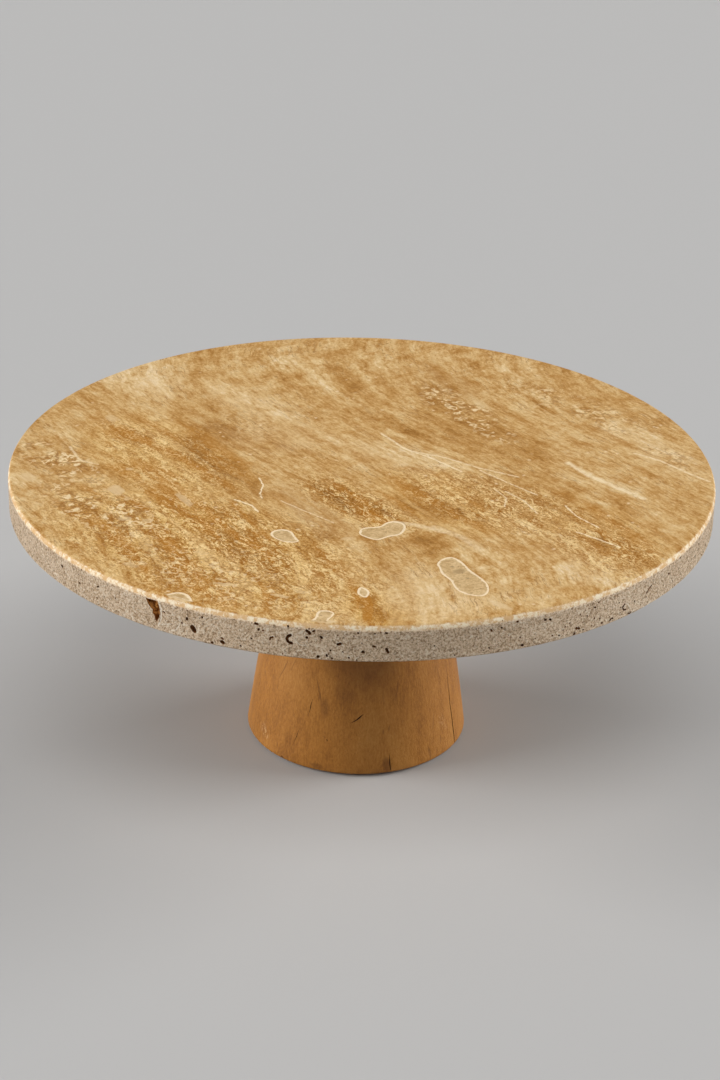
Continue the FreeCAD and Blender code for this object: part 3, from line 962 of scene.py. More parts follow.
    def _raw(self, m: Maker, place: Socket) -> tuple[Socket, Value]:
        """The sawn, unsealed stone: mottled, granular and dusty, with painted highlights along a few
        ridges.

        Args:
            m: the material's maker.
            place: the point.

        Returns:
            The colour and the height of its grain.
        """
        mottle = m.noise(place, 0.12, 4.0, 0.6)
        grit = m.noise(place, 1.25, 4.0, 0.8)
        crumbs = m.cells(m.warp(place, 1.2, 0.8), 1.1)
        tone = 0.5 + (mottle - 0.5) * 0.6 + (grit - 0.5) * 3.1 + (0.45 - crumbs) * 0.5
        colour = m.ramp(tone, [(0.08, self.raw_dark), (0.5, self.raw), (0.9, self.raw_light)])
        specks = m.noise(place, 0.75, 3.0, 0.75, 0.3)
        colour = m.mix(specks.above(0.57, 0.65) * 0.8, colour, self.raw_speck)
        holes = specks.above(0.385, 0.32)
        colour = m.mix(holes * 0.5, colour, self.raw_hole)
        unsteady = m.warp(place, 0.6, 0.7, 2.0)
        # Painted highlight: pale lines where light would catch the crests of ridges, in the colour
        # only.
        ridge_highlight_mask = m.strongest(
            m.stroke(unsteady, self._on_rim(start), self._on_rim(end), ridge.width) * ridge.strength
            for ridge in self.lit_ridges
            for start, end in zip(ridge.points, ridge.points[1:])
        )
        colour = m.mix(ridge_highlight_mask, colour, self.ridge_highlight)
        return colour, grit - crumbs * 0.3 - holes

    def _on_rim(self, point: Point2) -> tuple[float, float, float]:
        """The place on the rim of a turn in degrees and a height from the top.

        Args:
            point: the turn and the height.

        Returns:
            The place, in millimetres.
        """
        turn = math.radians(point[0])
        return (
            self.rim_radius * math.cos(turn),
            self.rim_radius * math.sin(turn),
            self.top + point[1],
        )


@dataclass(frozen=True)
class PitLining:
    """The inside of an open hole in raw travertine: dark and stained."""

    shadow: Colour = srgb(78, 46, 24)
    stain: Colour = srgb(146, 92, 50)

    def material(self) -> Material:
        """The material of the holes' walls.

        Returns:
            The material.
        """
        m = Maker("travertine_pit")
        place = m.millimetres()
        tone = m.noise(place, 0.5, 4.0, 0.65)
        colour = m.mix(tone.above(0.4, 0.7), self.shadow, self.stain)
        normal = m.bump(m.noise(place, 2.2, 3.0, 0.6), 0.0004)
        return m.finish(Base_Color=colour, Roughness=0.95, Normal=normal, Specular_IOR_Level=0.1)


@dataclass(frozen=True)
class StainedPit:
    """The inside of the large slot in the rim, stained brown by iron."""

    dark: Colour = srgb(112, 64, 22)
    rust: Colour = srgb(200, 140, 74)

    def material(self) -> Material:
        """The material of the slot's walls.

        Returns:
            The material.
        """
        m = Maker("travertine_stained_pit")
        place = m.millimetres()
        tone = m.noise(place, 0.5, 4.0, 0.6)
        colour = m.mix(tone.above(0.42, 0.6), self.dark, self.rust)
        normal = m.bump(m.noise(place, 1.6, 3.0, 0.6), 0.0005)
        return m.finish(Base_Color=colour, Roughness=0.9, Normal=normal, Specular_IOR_Level=0.1)


@dataclass(frozen=True)
class Filler:
    """Tan filling resin inside a pale calcite lining, polished flush with the stone."""

    resin: Colour = srgb(224, 194, 146)
    resin_dark: Colour = srgb(192, 157, 106)
    lining: Colour = srgb(246, 224, 188)
    fleck: Colour = srgb(146, 106, 64)
    dirt: Colour = srgb(146, 117, 74)
    inclusions: tuple[Patch, ...] = (
        Patch((38.5, -103.0), 3.6, 2.6, 30, 0.6),
        Patch((38.0, -102.0), 1.2, 0.8, 30, 0.6),
        Patch((35.8, -99.0), 1.3, 0.9, 0, 0.7),
        Patch((41.5, -108.5), 1.0, 0.8, 0, 0.6),
        Patch((9.0, -66.5), 1.2, 0.7, 20, 0.5),
    )

    def material(self) -> Material:
        """The filling's material, which reads how far each point lies from the filling's edge.

        Returns:
            The material.
        """
        m = Maker("stone_filler")
        place = m.millimetres()
        reach = Value(
            m, m.node("ShaderNodeAttribute", {"attribute_name": "from_edge_mm"}).outputs["Fac"]
        )
        uneven = (m.noise(place, 0.45, 4.0, 0.65) - 0.5) * 2.4
        tone = m.noise(place, 0.22, 4.0, 0.6) * 0.5 + m.noise(place, 1.0, 3.0, 0.75) * 0.5
        colour = m.mix(tone.above(0.4, 0.6), self.resin_dark, self.resin)
        flecks = m.cells(m.warp(place, 0.8, 1.2), 0.3).above(0.18, 0.08)
        colour = m.mix(flecks * 0.6, colour, self.fleck)
        frayed = m.on_face(m.warp(place, 0.7, 1.6, 3.0))
        dirt = m.strongest(m.spot(frayed, patch, 0.2) for patch in self.inclusions)
        colour = m.mix(dirt, colour, self.dirt)
        lined = (reach + uneven).above(1.1, 0.7)
        colour = m.mix(lined * (tone.above(0.35, 0.5) * 0.25 + 0.75), colour, self.lining)
        rough = 0.46 + tone * 0.1 + lined * 0.08
        normal = m.bump(m.noise(place, 1.1, 3.0, 0.6), 0.00005)
        return m.finish(Base_Color=colour, Roughness=rough, Normal=normal, Specular_IOR_Level=0.2)


@dataclass(frozen=True)
class GrainMark:
    """A dark streak or smudge on a turned side, or a patch of painted shade, between two points of it.

    Attributes:
        start: its upper end, as a turn in degrees from +X and a height in millimetres.
        end: its lower end.
        width: its half width.
        strength: how much of the mark's colour it takes.
    """

    start: Point2
    end: Point2
    width: float
    strength: float


@dataclass(frozen=True)
class Hardwood:
    """Oiled honey-brown hardwood, cut so that the growth rings run nearly upright on the side."""

    name: str = "oiled_hardwood"
    pith: tuple[float, float] = (70.0, 120.0)
    ring_width: float = 5.5
    light: Colour = srgb(194, 138, 66)
    honey: Colour = srgb(171, 113, 44)
    dark: Colour = srgb(122, 73, 20)
    # The stain colour also paints the shade below the plate, through two of the marks.
    stain: Colour = srgb(92, 52, 16)
    rubbed: Colour = srgb(214, 176, 128)
    # Dark streaks and smudges in the wood, and two patches of painted shade.
    marks: tuple[GrainMark, ...] = (
        GrainMark((-114.8, 46.0), (-108.5, 28.5), 0.45, 0.5),
        GrainMark((-134.5, 47.0), (-141.6, 34.5), 0.4, 0.5),
        GrainMark((-128.0, 50.0), (-133.0, 41.0), 0.3, 0.35),
        GrainMark((-64.5, 44.0), (-68.0, 34.0), 0.5, 0.4),
        GrainMark((-76.0, 48.0), (-74.0, 30.0), 0.6, 0.25),
        GrainMark((-108.2, 34.0), (-107.4, 26.5), 3.0, 0.35),
        # Painted shade: this mark and the next darken the foot's front below the plate, where the
        # plate's shadow falls.
        GrainMark((-99.0, 44.0), (-94.0, 34.0), 6.0, 0.3),
        GrainMark((-87.0, 78.0), (-86.0, 44.0), 24.0, 0.5),
        GrainMark((-113.6, 3.4), (-106.4, 3.0), 1.5, 0.45),
        GrainMark((-74.0, 8.5), (-72.6, 1.5), 2.3, 0.45),
        GrainMark((-24.6, 52.0), (-25.2, 36.0), 0.35, 0.6),
        GrainMark((-48.0, 9.0), (-47.0, 2.0), 1.0, 0.35),
        GrainMark((-42.0, 24.0), (-44.5, 13.0), 0.4, 0.3),
        GrainMark((-131.5, 2.6), (-130.0, 1.4), 0.7, 0.7),
        GrainMark((20.0, 70.0), (17.0, 30.0), 0.7, 0.4),
        GrainMark((74.0, 60.0), (78.0, 12.0), 0.6, 0.4),
        GrainMark((131.0, 88.0), (127.0, 48.0), 0.8, 0.4),
        GrainMark((166.0, 40.0), (169.0, 8.0), 0.5, 0.4),
    )
    wear: tuple[GrainMark, ...] = (
        GrainMark((-152.0, 12.0), (-143.0, 6.0), 3.0, 0.6),
        GrainMark((-38.0, 20.0), (-33.0, 12.0), 3.0, 0.25),
        GrainMark((100.0, 8.0), (112.0, 5.0), 2.5, 0.5),
    )

    def material(self, side: Callable[[float], float] | None = None) -> Material:
        """The wood's material, solid through the piece.

        Args:
            side: the turned side's radius at a height, where the marks, painted shade among them, are
                to show.

        Returns:
            The material.
        """
        m = Maker(self.name)
        place = m.millimetres()
        x, y, z = m.split(m.warp(place, 0.012, 14.0, 2.0))
        sheared = m.join(x - self.pith[0] + z * 0.08, y - self.pith[1] - z * 0.05, 0.0)
        rings = m.measure("LENGTH", sheared) / self.ring_width
        wobble = m.noise(m.frame_of(place, size=(22, 22, 90)), 1.0, 3.0) * 2.0
        year = m.math("PINGPONG", rings + wobble, 1.0)
        fibres = m.noise(m.frame_of(m.warp(place, 0.1, 1.6), size=(0.8, 0.8, 9)), 1.0, 4.0, 0.65)
        ripple = m.noise(m.frame_of(m.warp(place, 0.3, 1.5), size=(0.8, 0.8, 1.6)), 1.0, 3.0, 0.7)
        cloud = m.noise(m.frame_of(place, size=(16, 16, 30)), 1.0, 5.0, 0.6)
        tone = (
            0.5
            + (cloud - 0.5) * 0.9
            + (fibres - 0.5) * 0.55
            + (ripple - 0.5) * 0.7
            - year.above(0.6, 1.0) * 0.1
        )
        colour = m.ramp(tone, [(0.1, self.dark), (0.5, self.honey), (0.88, self.light)])
        pores = m.cells(m.frame_of(place, size=(0.6, 0.6, 5.0)), 1.0).above(0.17, 0.06)
        colour = m.mix(pores * 0.35, colour, self.stain)
        flecks = m.cells(m.frame_of(m.warp(place, 0.05, 6.0), size=(5.5, 5.5, 26.0)), 1.0)
        colour = m.mix(flecks.above(0.11, 0.05) * 0.4, colour, self.stain)
        if side:
            near = m.warp(place, 0.25, 1.4, 3.0)
            # The marks paint stains in the wood and, below the plate, painted shade.
            stained = m.strongest(self._mark(m, near, mark, side) for mark in self.marks)
            colour = m.mix(stained, colour, self.stain)
            worn = m.strongest(self._mark(m, near, mark, side) for mark in self.wear)
            colour = m.mix(worn * ripple.above(0.5, 0.62), colour, self.rubbed)
        rough = 0.5 + (cloud - 0.5) * 0.15
        normal = m.bump(ripple * 0.7 + fibres * 0.3 - pores * 0.4, 0.00028, 0.9)
        return m.finish(Base_Color=colour, Roughness=rough, Normal=normal, Specular_IOR_Level=0.3)

    @staticmethod
    def _mark(m: Maker, place: Socket, mark: GrainMark, side: Callable[[float], float]) -> Value:
        """The mask of one mark.

        Args:
            m: the material's maker.
            place: the point.
            mark: the mark.
            side: the turned side's radius at a height.

        Returns:
            The mask.
        """
        turn = (mark.start[0] + mark.end[0]) / 2
        height = (mark.start[1] + mark.end[1]) / 2
        reach = side(height)
        rise = mark.start[1] - mark.end[1]
        swing = math.radians(mark.start[0] - mark.end[0]) * reach
        angle = math.radians(turn)
        near = m.frame_of(
            place,
            (reach * math.cos(angle), reach * math.sin(angle), height),
            turn,
            (4.0 + mark.width, mark.width, math.hypot(rise, swing) / 2 + mark.width / 2),
            -math.degrees(math.atan2(swing, rise)),
        )
        return m.measure("LENGTH", near).above(1.0, 0.45) * mark.strength


@dataclass(frozen=True)
class Plain:
    """A finish of one colour with fine mottling and a fine grain."""

    name: str
    colour: Colour
    mottle: Colour
    roughness: float
    metallic: float = 0.0
    grain: float = 1.5
    relief: float = 0.00004

    def material(self) -> Material:
        """The finish's material.

        Returns:
            The material.
        """
        m = Maker(self.name)
        place = m.millimetres()
        tone = m.noise(place, self.grain * 0.3, 4.0, 0.6)
        colour = m.mix(tone.above(0.35, 0.7), self.colour, self.mottle)
        grain = m.noise(place, self.grain, 3.0, 0.6)
        rough = (self.roughness + (tone - 0.5) * 0.2).clamp()
        return m.finish(
            Base_Color=colour,
            Metallic=self.metallic,
            Roughness=rough,
            Normal=m.bump(grain, self.relief),
        )


# ---------------------------------------------------------------------------------------------
# Mesh tools
# ---------------------------------------------------------------------------------------------


def make_object(name: str, verts: Sequence[Any], faces: Sequence[Any]) -> Thing:
    """A new object in the scene from points in millimetres.

    Args:
        name: its name.
        verts: its points.
        faces: its faces, as numbers of points.

    Returns:
        The object.
    """
    mesh = bpy.data.meshes.new(name)
    mesh.from_pydata([tuple(c * MM for c in v) for v in verts], [], faces)
    mesh.update()
    made = bpy.data.objects.new(name, mesh)
    bpy.context.scene.collection.objects.link(made)
    return made


def lathe(name: str, profile: Sequence[Point2], segments: int, loop: bool = False) -> Thing:
    """Turn a profile of (radius, height) round Z.

    Args:
        name: the new object's name.
        profile: the profile's points, from the top down its outside.
        segments: how many steps round.
        loop: whether the profile closes on itself; if not, both ends are capped with one face.

    Returns:
        The object, with its faces pointing outwards.
    """
    turns = [2 * math.pi * i / segments for i in range(segments)]
    verts = [(r * math.cos(a), r * math.sin(a), h) for r, h in profile for a in turns]
    rows = len(profile)
    faces: list[Any] = []
    for row in range(rows if loop else rows - 1):
        below = (row + 1) % rows
        for i in range(segments):
            j = (i + 1) % segments
            faces.append(
                (row * segments + i, below * segments + i, below * segments + j, row * segments + j)
            )
    if not loop:
        faces.append(tuple(range(segments)))
        faces.append(tuple(reversed(range((rows - 1) * segments, rows * segments))))
    made = make_object(name, verts, faces)
    face_outwards(made)
    return made


def ring_faces(rings: int, count: int, closed: bool = False) -> list[Any]:
    """Quads between each ring of points and the next.

    Args:
        rings: how many rings there are.
        count: how many points each ring has.
        closed: whether both ends get a cap.

    Returns:
        The faces.
    """
    faces: list[Any] = []
    for ring in range(rings - 1):
        low = ring * count
        for i in range(count):
            j = (i + 1) % count
            faces.append((low + i, low + j, low + count + j, low + count + i))
    if closed:
        faces.append(tuple(reversed(range(count))))
        faces.append(tuple(range((rings - 1) * count, rings * count)))
    return faces


def face_outwards(obj: Thing) -> None:
    """Recalculate the normals of a closed mesh to point out of it.

    Args:
        obj: the object.
    """
    bm = bmesh.new()
    bm.from_mesh(obj.data)
    bmesh.ops.recalc_face_normals(bm, faces=bm.faces)
    bm.to_mesh(obj.data)
    bm.free()


def prism(name: str, outline: Sequence[Point2], low: float, high: float) -> Thing:
    """An upright prism of an outline, between two heights.

    Args:
        name: its name.
        outline: the outline.
        low: the lower height.
        high: the upper height.

    Returns:
        The object.
    """
    count = len(outline)
    verts = [(x, y, h) for h in (low, high) for x, y in outline]
    faces: list[Any] = [tuple(reversed(range(count))), tuple(range(count, 2 * count))]
    for i in range(count):
        j = (i + 1) % count
        faces.append((i, j, count + j, count + i))
    made = make_object(name, verts, faces)
    face_outwards(made)
    return made


def circle(radius: float, segments: int, centre: Point2 = (0.0, 0.0)) -> list[Point2]:
    """Points evenly round a circle."""
    turns = [2 * math.pi * i / segments for i in range(segments)]
    return [(centre[0] + radius * math.cos(a), centre[1] + radius * math.sin(a)) for a in turns]


def join_meshes(name: str, objects: Sequence[Thing]) -> Thing:
    """One object from several, which are removed.

    Args:
        name: its name.
        objects: the objects.

    Returns:
        The new object.
    """
    bm = bmesh.new()
    for obj in objects:
        bm.from_mesh(obj.data)
    mesh = bpy.data.meshes.new(name)
    bm.to_mesh(mesh)
    bm.free()
    for obj in objects:
        discard(obj)
    made = bpy.data.objects.new(name, mesh)
    bpy.context.scene.collection.objects.link(made)
    return made


def discard(obj: Thing) -> None:
    """Remove an object and its mesh.

    Args:
        obj: the object.
    """
    mesh = obj.data
    bpy.data.objects.remove(obj)
    if mesh.users == 0:
        bpy.data.meshes.remove(mesh)


def line_with(cutter: Thing, target: Thing, index: int) -> None:
    """Give all faces of a cutter the target's material of that number, which the cut then gets.

    Args:
        cutter: the cutter.
        target: the object that it will cut.
        index: the number of the target's material.
    """
    for material in list(target.data.materials)[len(cutter.data.materials) :]:
        cutter.data.materials.append(material)
    cutter.data.polygons.foreach_set("material_index", [index] * len(cutter.data.polygons))


def bake_modifiers(obj: Thing) -> None:
    """Replace the object's mesh by what its modifiers make, and remove them.

    Args:
        obj: the object.
    """
    bpy.context.view_layer.update()
    graph = bpy.context.evaluated_depsgraph_get()
    mesh = bpy.data.meshes.new_from_object(obj.evaluated_get(graph))
    old = obj.data
    obj.modifiers.clear()
    obj.data = mesh
    mesh.name = obj.name
    if old.users == 0:
        bpy.data.meshes.remove(old)


def cut(obj: Thing, cutter: Thing) -> None:
    """Take the cutter away from the object.

    Args:
        obj: the object to cut.
        cutter: what to cut with, which is removed.
    """
    modifier = obj.modifiers.new("cut", "BOOLEAN")
    modifier.operation = "DIFFERENCE"
    modifier.solver = "MANIFOLD"
    modifier.object = cutter
    bake_modifiers(obj)
    LOG.info("%s: cut with %s, %d faces", obj.name, cutter.name, len(obj.data.polygons))
    discard(cutter)


def smooth_by_angle(obj: Thing, degrees: float) -> None:
    """Shade smooth, with edges sharper than the angle kept sharp."""
    obj.data.shade_smooth()
    obj.data.set_sharp_from_angle(angle=math.radians(degrees))


def wrinkle(place: Sequence[float], size: float, seed: float) -> float:
    """Smooth noise from about -1 to 1 at a point, with features of about that size."""
    return noise.noise(Vector((place[0] / size + seed, place[1] / size - seed, place[2] / size)))


def dress(piece: Thing, replaces: Sequence[str]) -> None:
    """Give a finished piece its place in the frame, and hide the nodes that it stands for.

    Args:
        piece: the piece.
        replaces: the nodes that it stands for.
    """
    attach(piece, "root")
    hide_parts(*replaces)
    LOG.info("%s: %d faces", piece.name, len(piece.data.polygons))


# ---------------------------------------------------------------------------------------------
# Scattered pits
# ---------------------------------------------------------------------------------------------


@dataclass
class PitScatter:
    """Pit-shaped cutters scattered over raw stone by a geometry-node tree."""

    side: Side
    spacing: float
    density: float
    smallest: float
    largest: float
    seed: int
    lump: float
    patch_scale: float = 45.0
    lump_scale: float = 900.0
    steepest: float = 0.2
    flattest: float = -0.9

    def cutters(self, stone: Thing, lining: Material) -> Thing:
        """Scatter the pits over the stone and give them back as one plain mesh.

        Args:
            stone: the object whose surface the pits lie on.
            lining: the material of the pits' walls.

        Returns:
            An object that holds only the cutters.
        """
        tree, sockets = self._tree(lining)
        made = bpy.data.objects.new(f"pits_{self.side.value}", stone.data.copy())
        bpy.context.scene.collection.objects.link(made)
        modifier = made.modifiers.new("scatter", "NODES")
        modifier.node_group = tree
        sizes = {
            "Spacing": self.spacing * MM,
            "Density": self.density / MM**2,
            "Smallest": self.smallest * MM,
            "Largest": self.largest * MM,
            "Lump": self.lump * MM,
            "Seed": self.seed,
        }
        for name, value in sizes.items():
            modifier[sockets[name]] = value
        bake_modifiers(made)
        made.data.materials.clear()
        return made

    def _tree(self, lining: Material) -> tuple[bpy.types.NodeTree, dict[str, str]]:
        """Build the scatter tree and give it with its inputs' identifiers by name.

        Args:
            lining: the material of the pits' walls.

        Returns:
            The tree and the identifiers.
        """
        tree = bpy.data.node_groups.new(f"scatter_{self.side.value}", "GeometryNodeTree")
        add = tree.interface.new_socket
        add("Stone", in_out="INPUT", socket_type="NodeSocketGeometry")
        sockets = {}
        for name in ("Spacing", "Density", "Smallest", "Largest", "Lump"):
            made = add(name, in_out="INPUT", socket_type="NodeSocketFloat")
            sockets[name] = made.identifier
        sockets["Seed"] = add("Seed", in_out="INPUT", socket_type="NodeSocketInt").identifier
        add("Pits", in_out="OUTPUT", socket_type="NodeSocketGeometry")

        def node(kind: str, inputs: dict[Any, Any] | None = None, **settings: Any) -> bpy.types.Node:
            """Add one node, its settings first and then its inputs.

            Args:
                kind: the node's type.
                inputs: values or links by socket name or number.
                settings: its properties.

            Returns:
                The node.
            """
            new = tree.nodes.new(kind)
            for key, value in settings.items():
                setattr(new, key, value)
            for key, value in (inputs or {}).items():
                if isinstance(value, Socket):
                    tree.links.new(value, new.inputs[key])
                else:
                    new.inputs[key].default_value = value
            return new

        def math_node(operation: str, first: Any, second: Any) -> Socket:
            """One Math node."""
            return node("ShaderNodeMath", {0: first, 1: second}, operation=operation).outputs[0]

        given = node("NodeGroupInput").outputs
        facing = node(
            "ShaderNodeSeparateXYZ", {0: node("GeometryNodeInputNormal").outputs[0]}
        ).outputs["Z"]
        if self.side is Side.RIM:
            chosen = math_node("LESS_THAN", math_node("ABSOLUTE", facing, 0.0), self.steepest)
        else:
            chosen = math_node("LESS_THAN", facing, self.flattest)
        point = node("GeometryNodeInputPosition").outputs[0]
        patchy = node(
            "ShaderNodeTexNoise", {"Scale": self.patch_scale, "Detail": 2.0, "Vector": point}
        ).outputs[0]
        share = node("ShaderNodeMapRange", {0: patchy, 1: 0.38, 2: 0.62}).outputs[0]
        scatter = node(
            "GeometryNodeDistributePointsOnFaces",
            {
                "Mesh": given["Stone"],
                "Selection": chosen,
                "Distance Min": given["Spacing"],
                "Density Max": given["Density"],
                "Density Factor": share,
                "Seed": given["Seed"],
            },
            distribute_method="POISSON",
        )

        def chance(low: Any, high: Any, offset: int) -> Socket:
            """A random number for each pit.

            Args:
                low: the smallest.
                high: the largest.
                offset: what is added to the seed.

            Returns:
                The number.
            """
            seed = math_node("ADD", given["Seed"], float(offset))
            new = node("FunctionNodeRandomValue", None, data_type="FLOAT")
            for socket, value in zip(
                [s for s in new.inputs if s.enabled and s.name in ("Min", "Max")], (low, high)
            ):
                socket.default_value = value
            tree.links.new(seed, new.inputs["Seed"])
            return next(s for s in new.outputs if s.enabled)

        rarely = math_node("POWER", chance(0.0, 1.0, 1), 2.6)
        span = math_node("SUBTRACT", given["Largest"], given["Smallest"])
        size = math_node("ADD", given["Smallest"], math_node("MULTIPLY", span, rarely))
        stretch = chance(0.75, 1.5, 2)
        scale = node(
            "ShaderNodeCombineXYZ",
            {
                0: math_node("MULTIPLY", size, stretch),
                1: math_node("DIVIDE", size, stretch),
                2: math_node("MULTIPLY", size, chance(0.9, 1.6, 3)),
            },
        ).outputs[0]
        spin = node("ShaderNodeCombineXYZ", {2: chance(0.0, 6.283, 4)}).outputs[0]
        rolled = node("FunctionNodeEulerToRotation", {0: spin}).outputs[0]
        turned = node(
            "FunctionNodeRotateRotation",
            {0: scatter.outputs["Rotation"], 1: rolled},
            rotation_space="LOCAL",
        ).outputs[0]
        ball = node("GeometryNodeMeshIcoSphere", {"Radius": 1.0, "Subdivisions": 2}).outputs["Mesh"]
        placed = node(
            "GeometryNodeInstanceOnPoints",
            {
                "Points": scatter.outputs["Points"],
                "Instance": ball,
                "Rotation": turned,
                "Scale": scale,
            },
        ).outputs[0]
        real = node("GeometryNodeRealizeInstances", {0: placed}).outputs[0]
        rough = node(
            "ShaderNodeTexNoise", {"Scale": self.lump_scale, "Detail": 2.0, "Vector": point}
        ).outputs[1]
        centred = node(
            "ShaderNodeVectorMath", {0: rough, 1: (0.5, 0.5, 0.5)}, operation="SUBTRACT"
        ).outputs[0]
        push = node(
            "ShaderNodeVectorMath", {0: centred, "Scale": given["Lump"]}, operation="SCALE"
        ).outputs[0]
        lumpy = node("GeometryNodeSetPosition", {"Geometry": real, "Offset": push}).outputs[0]
        lined = node("GeometryNodeSetMaterial", {"Geometry": lumpy, "Material": lining}).outputs[0]
        node("NodeGroupOutput", {0: lined})
        return tree, sockets


# ---------------------------------------------------------------------------------------------
# The stone plate and its fillings
# ---------------------------------------------------------------------------------------------


@dataclass(frozen=True)
class Gouge:
    """A hole in the rim, as a run of round hollows.

    Attributes:
        turn: where it lies round the rim, in degrees from +X.
        points: its middle line, in millimetres along the rim and up from the top edge.
        radius: its half width.
        depth: how deep it goes, in millimetres.
    """

    turn: float
    points: tuple[Point2, ...]
    radius: float
    depth: float = 1.6


RIM_GOUGES = (
    Gouge(-114.4, ((-0.7, -9.6), (0.0, -10.3), (0.5, -11.2)), 0.95, 2.4),
    Gouge(-109.8, ((-0.5, -13.1), (0.5, -13.5)), 0.7, 2.0),
    Gouge(-111.4, ((-0.3, -14.3), (0.3, -14.5)), 0.4),
    Gouge(-115.5, ((0.1, -6.3), (0.0, -7.2)), 0.4),
    Gouge(-113.0, ((-0.2, -4.4), (0.2, -4.6)), 0.35),
    Gouge(-104.6, ((-0.6, -2.9), (0.5, -3.1)), 0.42),
    Gouge(-104.3, ((0.1, -4.9), (0.0, -5.5)), 0.36),
    Gouge(-97.0, ((-0.9, -3.3), (0.0, -3.9), (0.5, -4.6)), 0.5, 1.5),
    Gouge(-96.5, ((0.2, -3.5), (1.0, -3.1)), 0.3, 1.0),
    Gouge(-99.9, ((0.9, -5.9), (-0.3, -6.6), (-0.7, -7.7), (-0.1, -8.8), (1.4, -9.4)), 0.5, 1.4),
    Gouge(-102.4, ((0.6, -7.6), (-0.4, -8.0), (-0.6, -8.9)), 0.3, 0.9),
    Gouge(-95.2, ((-0.3, -5.4), (0.3, -6.1)), 0.4),
    Gouge(-92.6, ((-0.7, -8.3), (0.5, -8.0)), 0.5),
    Gouge(-89.2, ((-0.3, -11.3), (0.2, -11.0)), 0.5),
    Gouge(-87.7, ((-0.5, -8.6), (0.5, -8.8)), 0.3),
    Gouge(-85.8, ((-0.4, -9.7), (0.0, -10.6), (0.4, -11.4)), 0.46, 1.8),
    Gouge(-86.0, ((-0.3, -3.0), (0.4, -3.2)), 0.32),
    Gouge(-90.0, ((-0.2, -3.2), (0.2, -3.3)), 0.28),
    Gouge(-95.6, ((-0.3, -13.9), (0.3, -14.0)), 0.45),
    Gouge(-94.4, ((0.0, -12.8), (0.1, -13.6)), 0.3),
    Gouge(-93.6, ((-0.2, -14.3), (0.2, -14.4)), 0.32),
    Gouge(-93.9, ((0.0, -10.8), (0.1, -11.2)), 0.28),
    Gouge(-62.0, ((-0.3, -4.8), (0.4, -5.1)), 0.42),
    Gouge(-65.6, ((-0.3, -13.8), (0.3, -13.9)), 0.42),
    Gouge(-66.0, ((-0.1, -10.1), (0.1, -10.4)), 0.28),
    Gouge(-56.3, ((-0.3, -12.0), (0.3, -12.5)), 0.42),
    Gouge(-56.6, ((-0.5, -14.7), (0.2, -14.2)), 0.4),
    Gouge(-53.0, ((-0.3, -5.5), (0.3, -5.7)), 0.34),
    Gouge(-51.4, ((-0.2, -13.5), (0.3, -13.6)), 0.36),
    Gouge(-49.6, ((-0.5, -13.9), (0.4, -13.2)), 0.3),
    Gouge(-46.9, ((-0.8, -10.4), (0.6, -9.4)), 0.34, 0.9),
    Gouge(-41.0, ((-1.6, -9.2), (0.2, -7.9), (1.8, -6.9)), 0.2, 0.5),
    Gouge(-60.6, ((-0.2, -12.4), (0.2, -12.6)), 0.28),
    Gouge(-59.4, ((-0.2, -13.1), (0.2, -13.3)), 0.3),
    Gouge(-58.7, ((-0.2, -11.3), (0.1, -11.4)), 0.22),
    Gouge(-55.8, ((-0.4, -12.3), (0.3, -12.9)), 0.34),
    Gouge(-55.0, ((-0.2, -13.6), (0.1, -13.9)), 0.25),
    Gouge(-53.0, ((-0.2, -10.3), (0.2, -10.5)), 0.25),
    Gouge(-51.9, ((0.0, -11.1), (0.1, -11.4)), 0.2),
    Gouge(-49.2, ((-0.2, -13.2), (0.3, -13.6)), 0.26),
    Gouge(-46.9, ((-0.5, -10.6), (0.1, -11.7), (0.8, -12.0)), 0.26, 0.9),
    Gouge(-45.4, ((-0.9, -14.1), (0.0, -14.6), (0.8, -14.2)), 0.28, 0.9),
    Gouge(-44.4, ((-0.2, -10.1), (0.2, -10.3)), 0.24),
    Gouge(-61.1, ((-0.5, -5.0), (0.3, -5.6)), 0.28),
    Gouge(-63.5, ((-0.1, -12.0), (0.1, -12.1)), 0.2),
    Gouge(-57.6, ((-0.1, -9.0), (0.2, -9.2)), 0.2),
    Gouge(-54.4, ((-0.2, -8.1), (0.1, -8.3)), 0.2),
    Gouge(-48.0, ((-0.1, -7.5), (0.2, -7.7)), 0.2),
    Gouge(-41.6, ((-0.1, -10.9), (0.2, -11.0)), 0.2),
    Gouge(-70.8, ((-0.2, -12.4), (0.1, -12.7)), 0.22),
    Gouge(-76.0, ((-0.1, -13.9), (0.2, -14.0)), 0.22),
    Gouge(-79.0, ((-0.2, -9.2), (0.1, -9.4)), 0.2),
    Gouge(-107.0, ((-0.1, -13.2), (0.2, -13.5)), 0.28),
    Gouge(-91.2, ((-0.2, -13.6), (0.2, -13.8)), 0.26),
    Gouge(-90.1, ((-0.1, -14.6), (0.2, -14.7)), 0.24),
    Gouge(-35.5, ((-0.3, -6.6), (0.4, -6.8)), 0.4),
    Gouge(-141.0, ((-0.4, -6.2), (0.2, -6.7)), 0.42),
    Gouge(-136.5, ((-0.3, -9.0), (0.2, -9.4)), 0.3),
    Gouge(-132.2, ((-0.4, -6.7), (0.5, -6.2)), 0.32, 0.9),
)


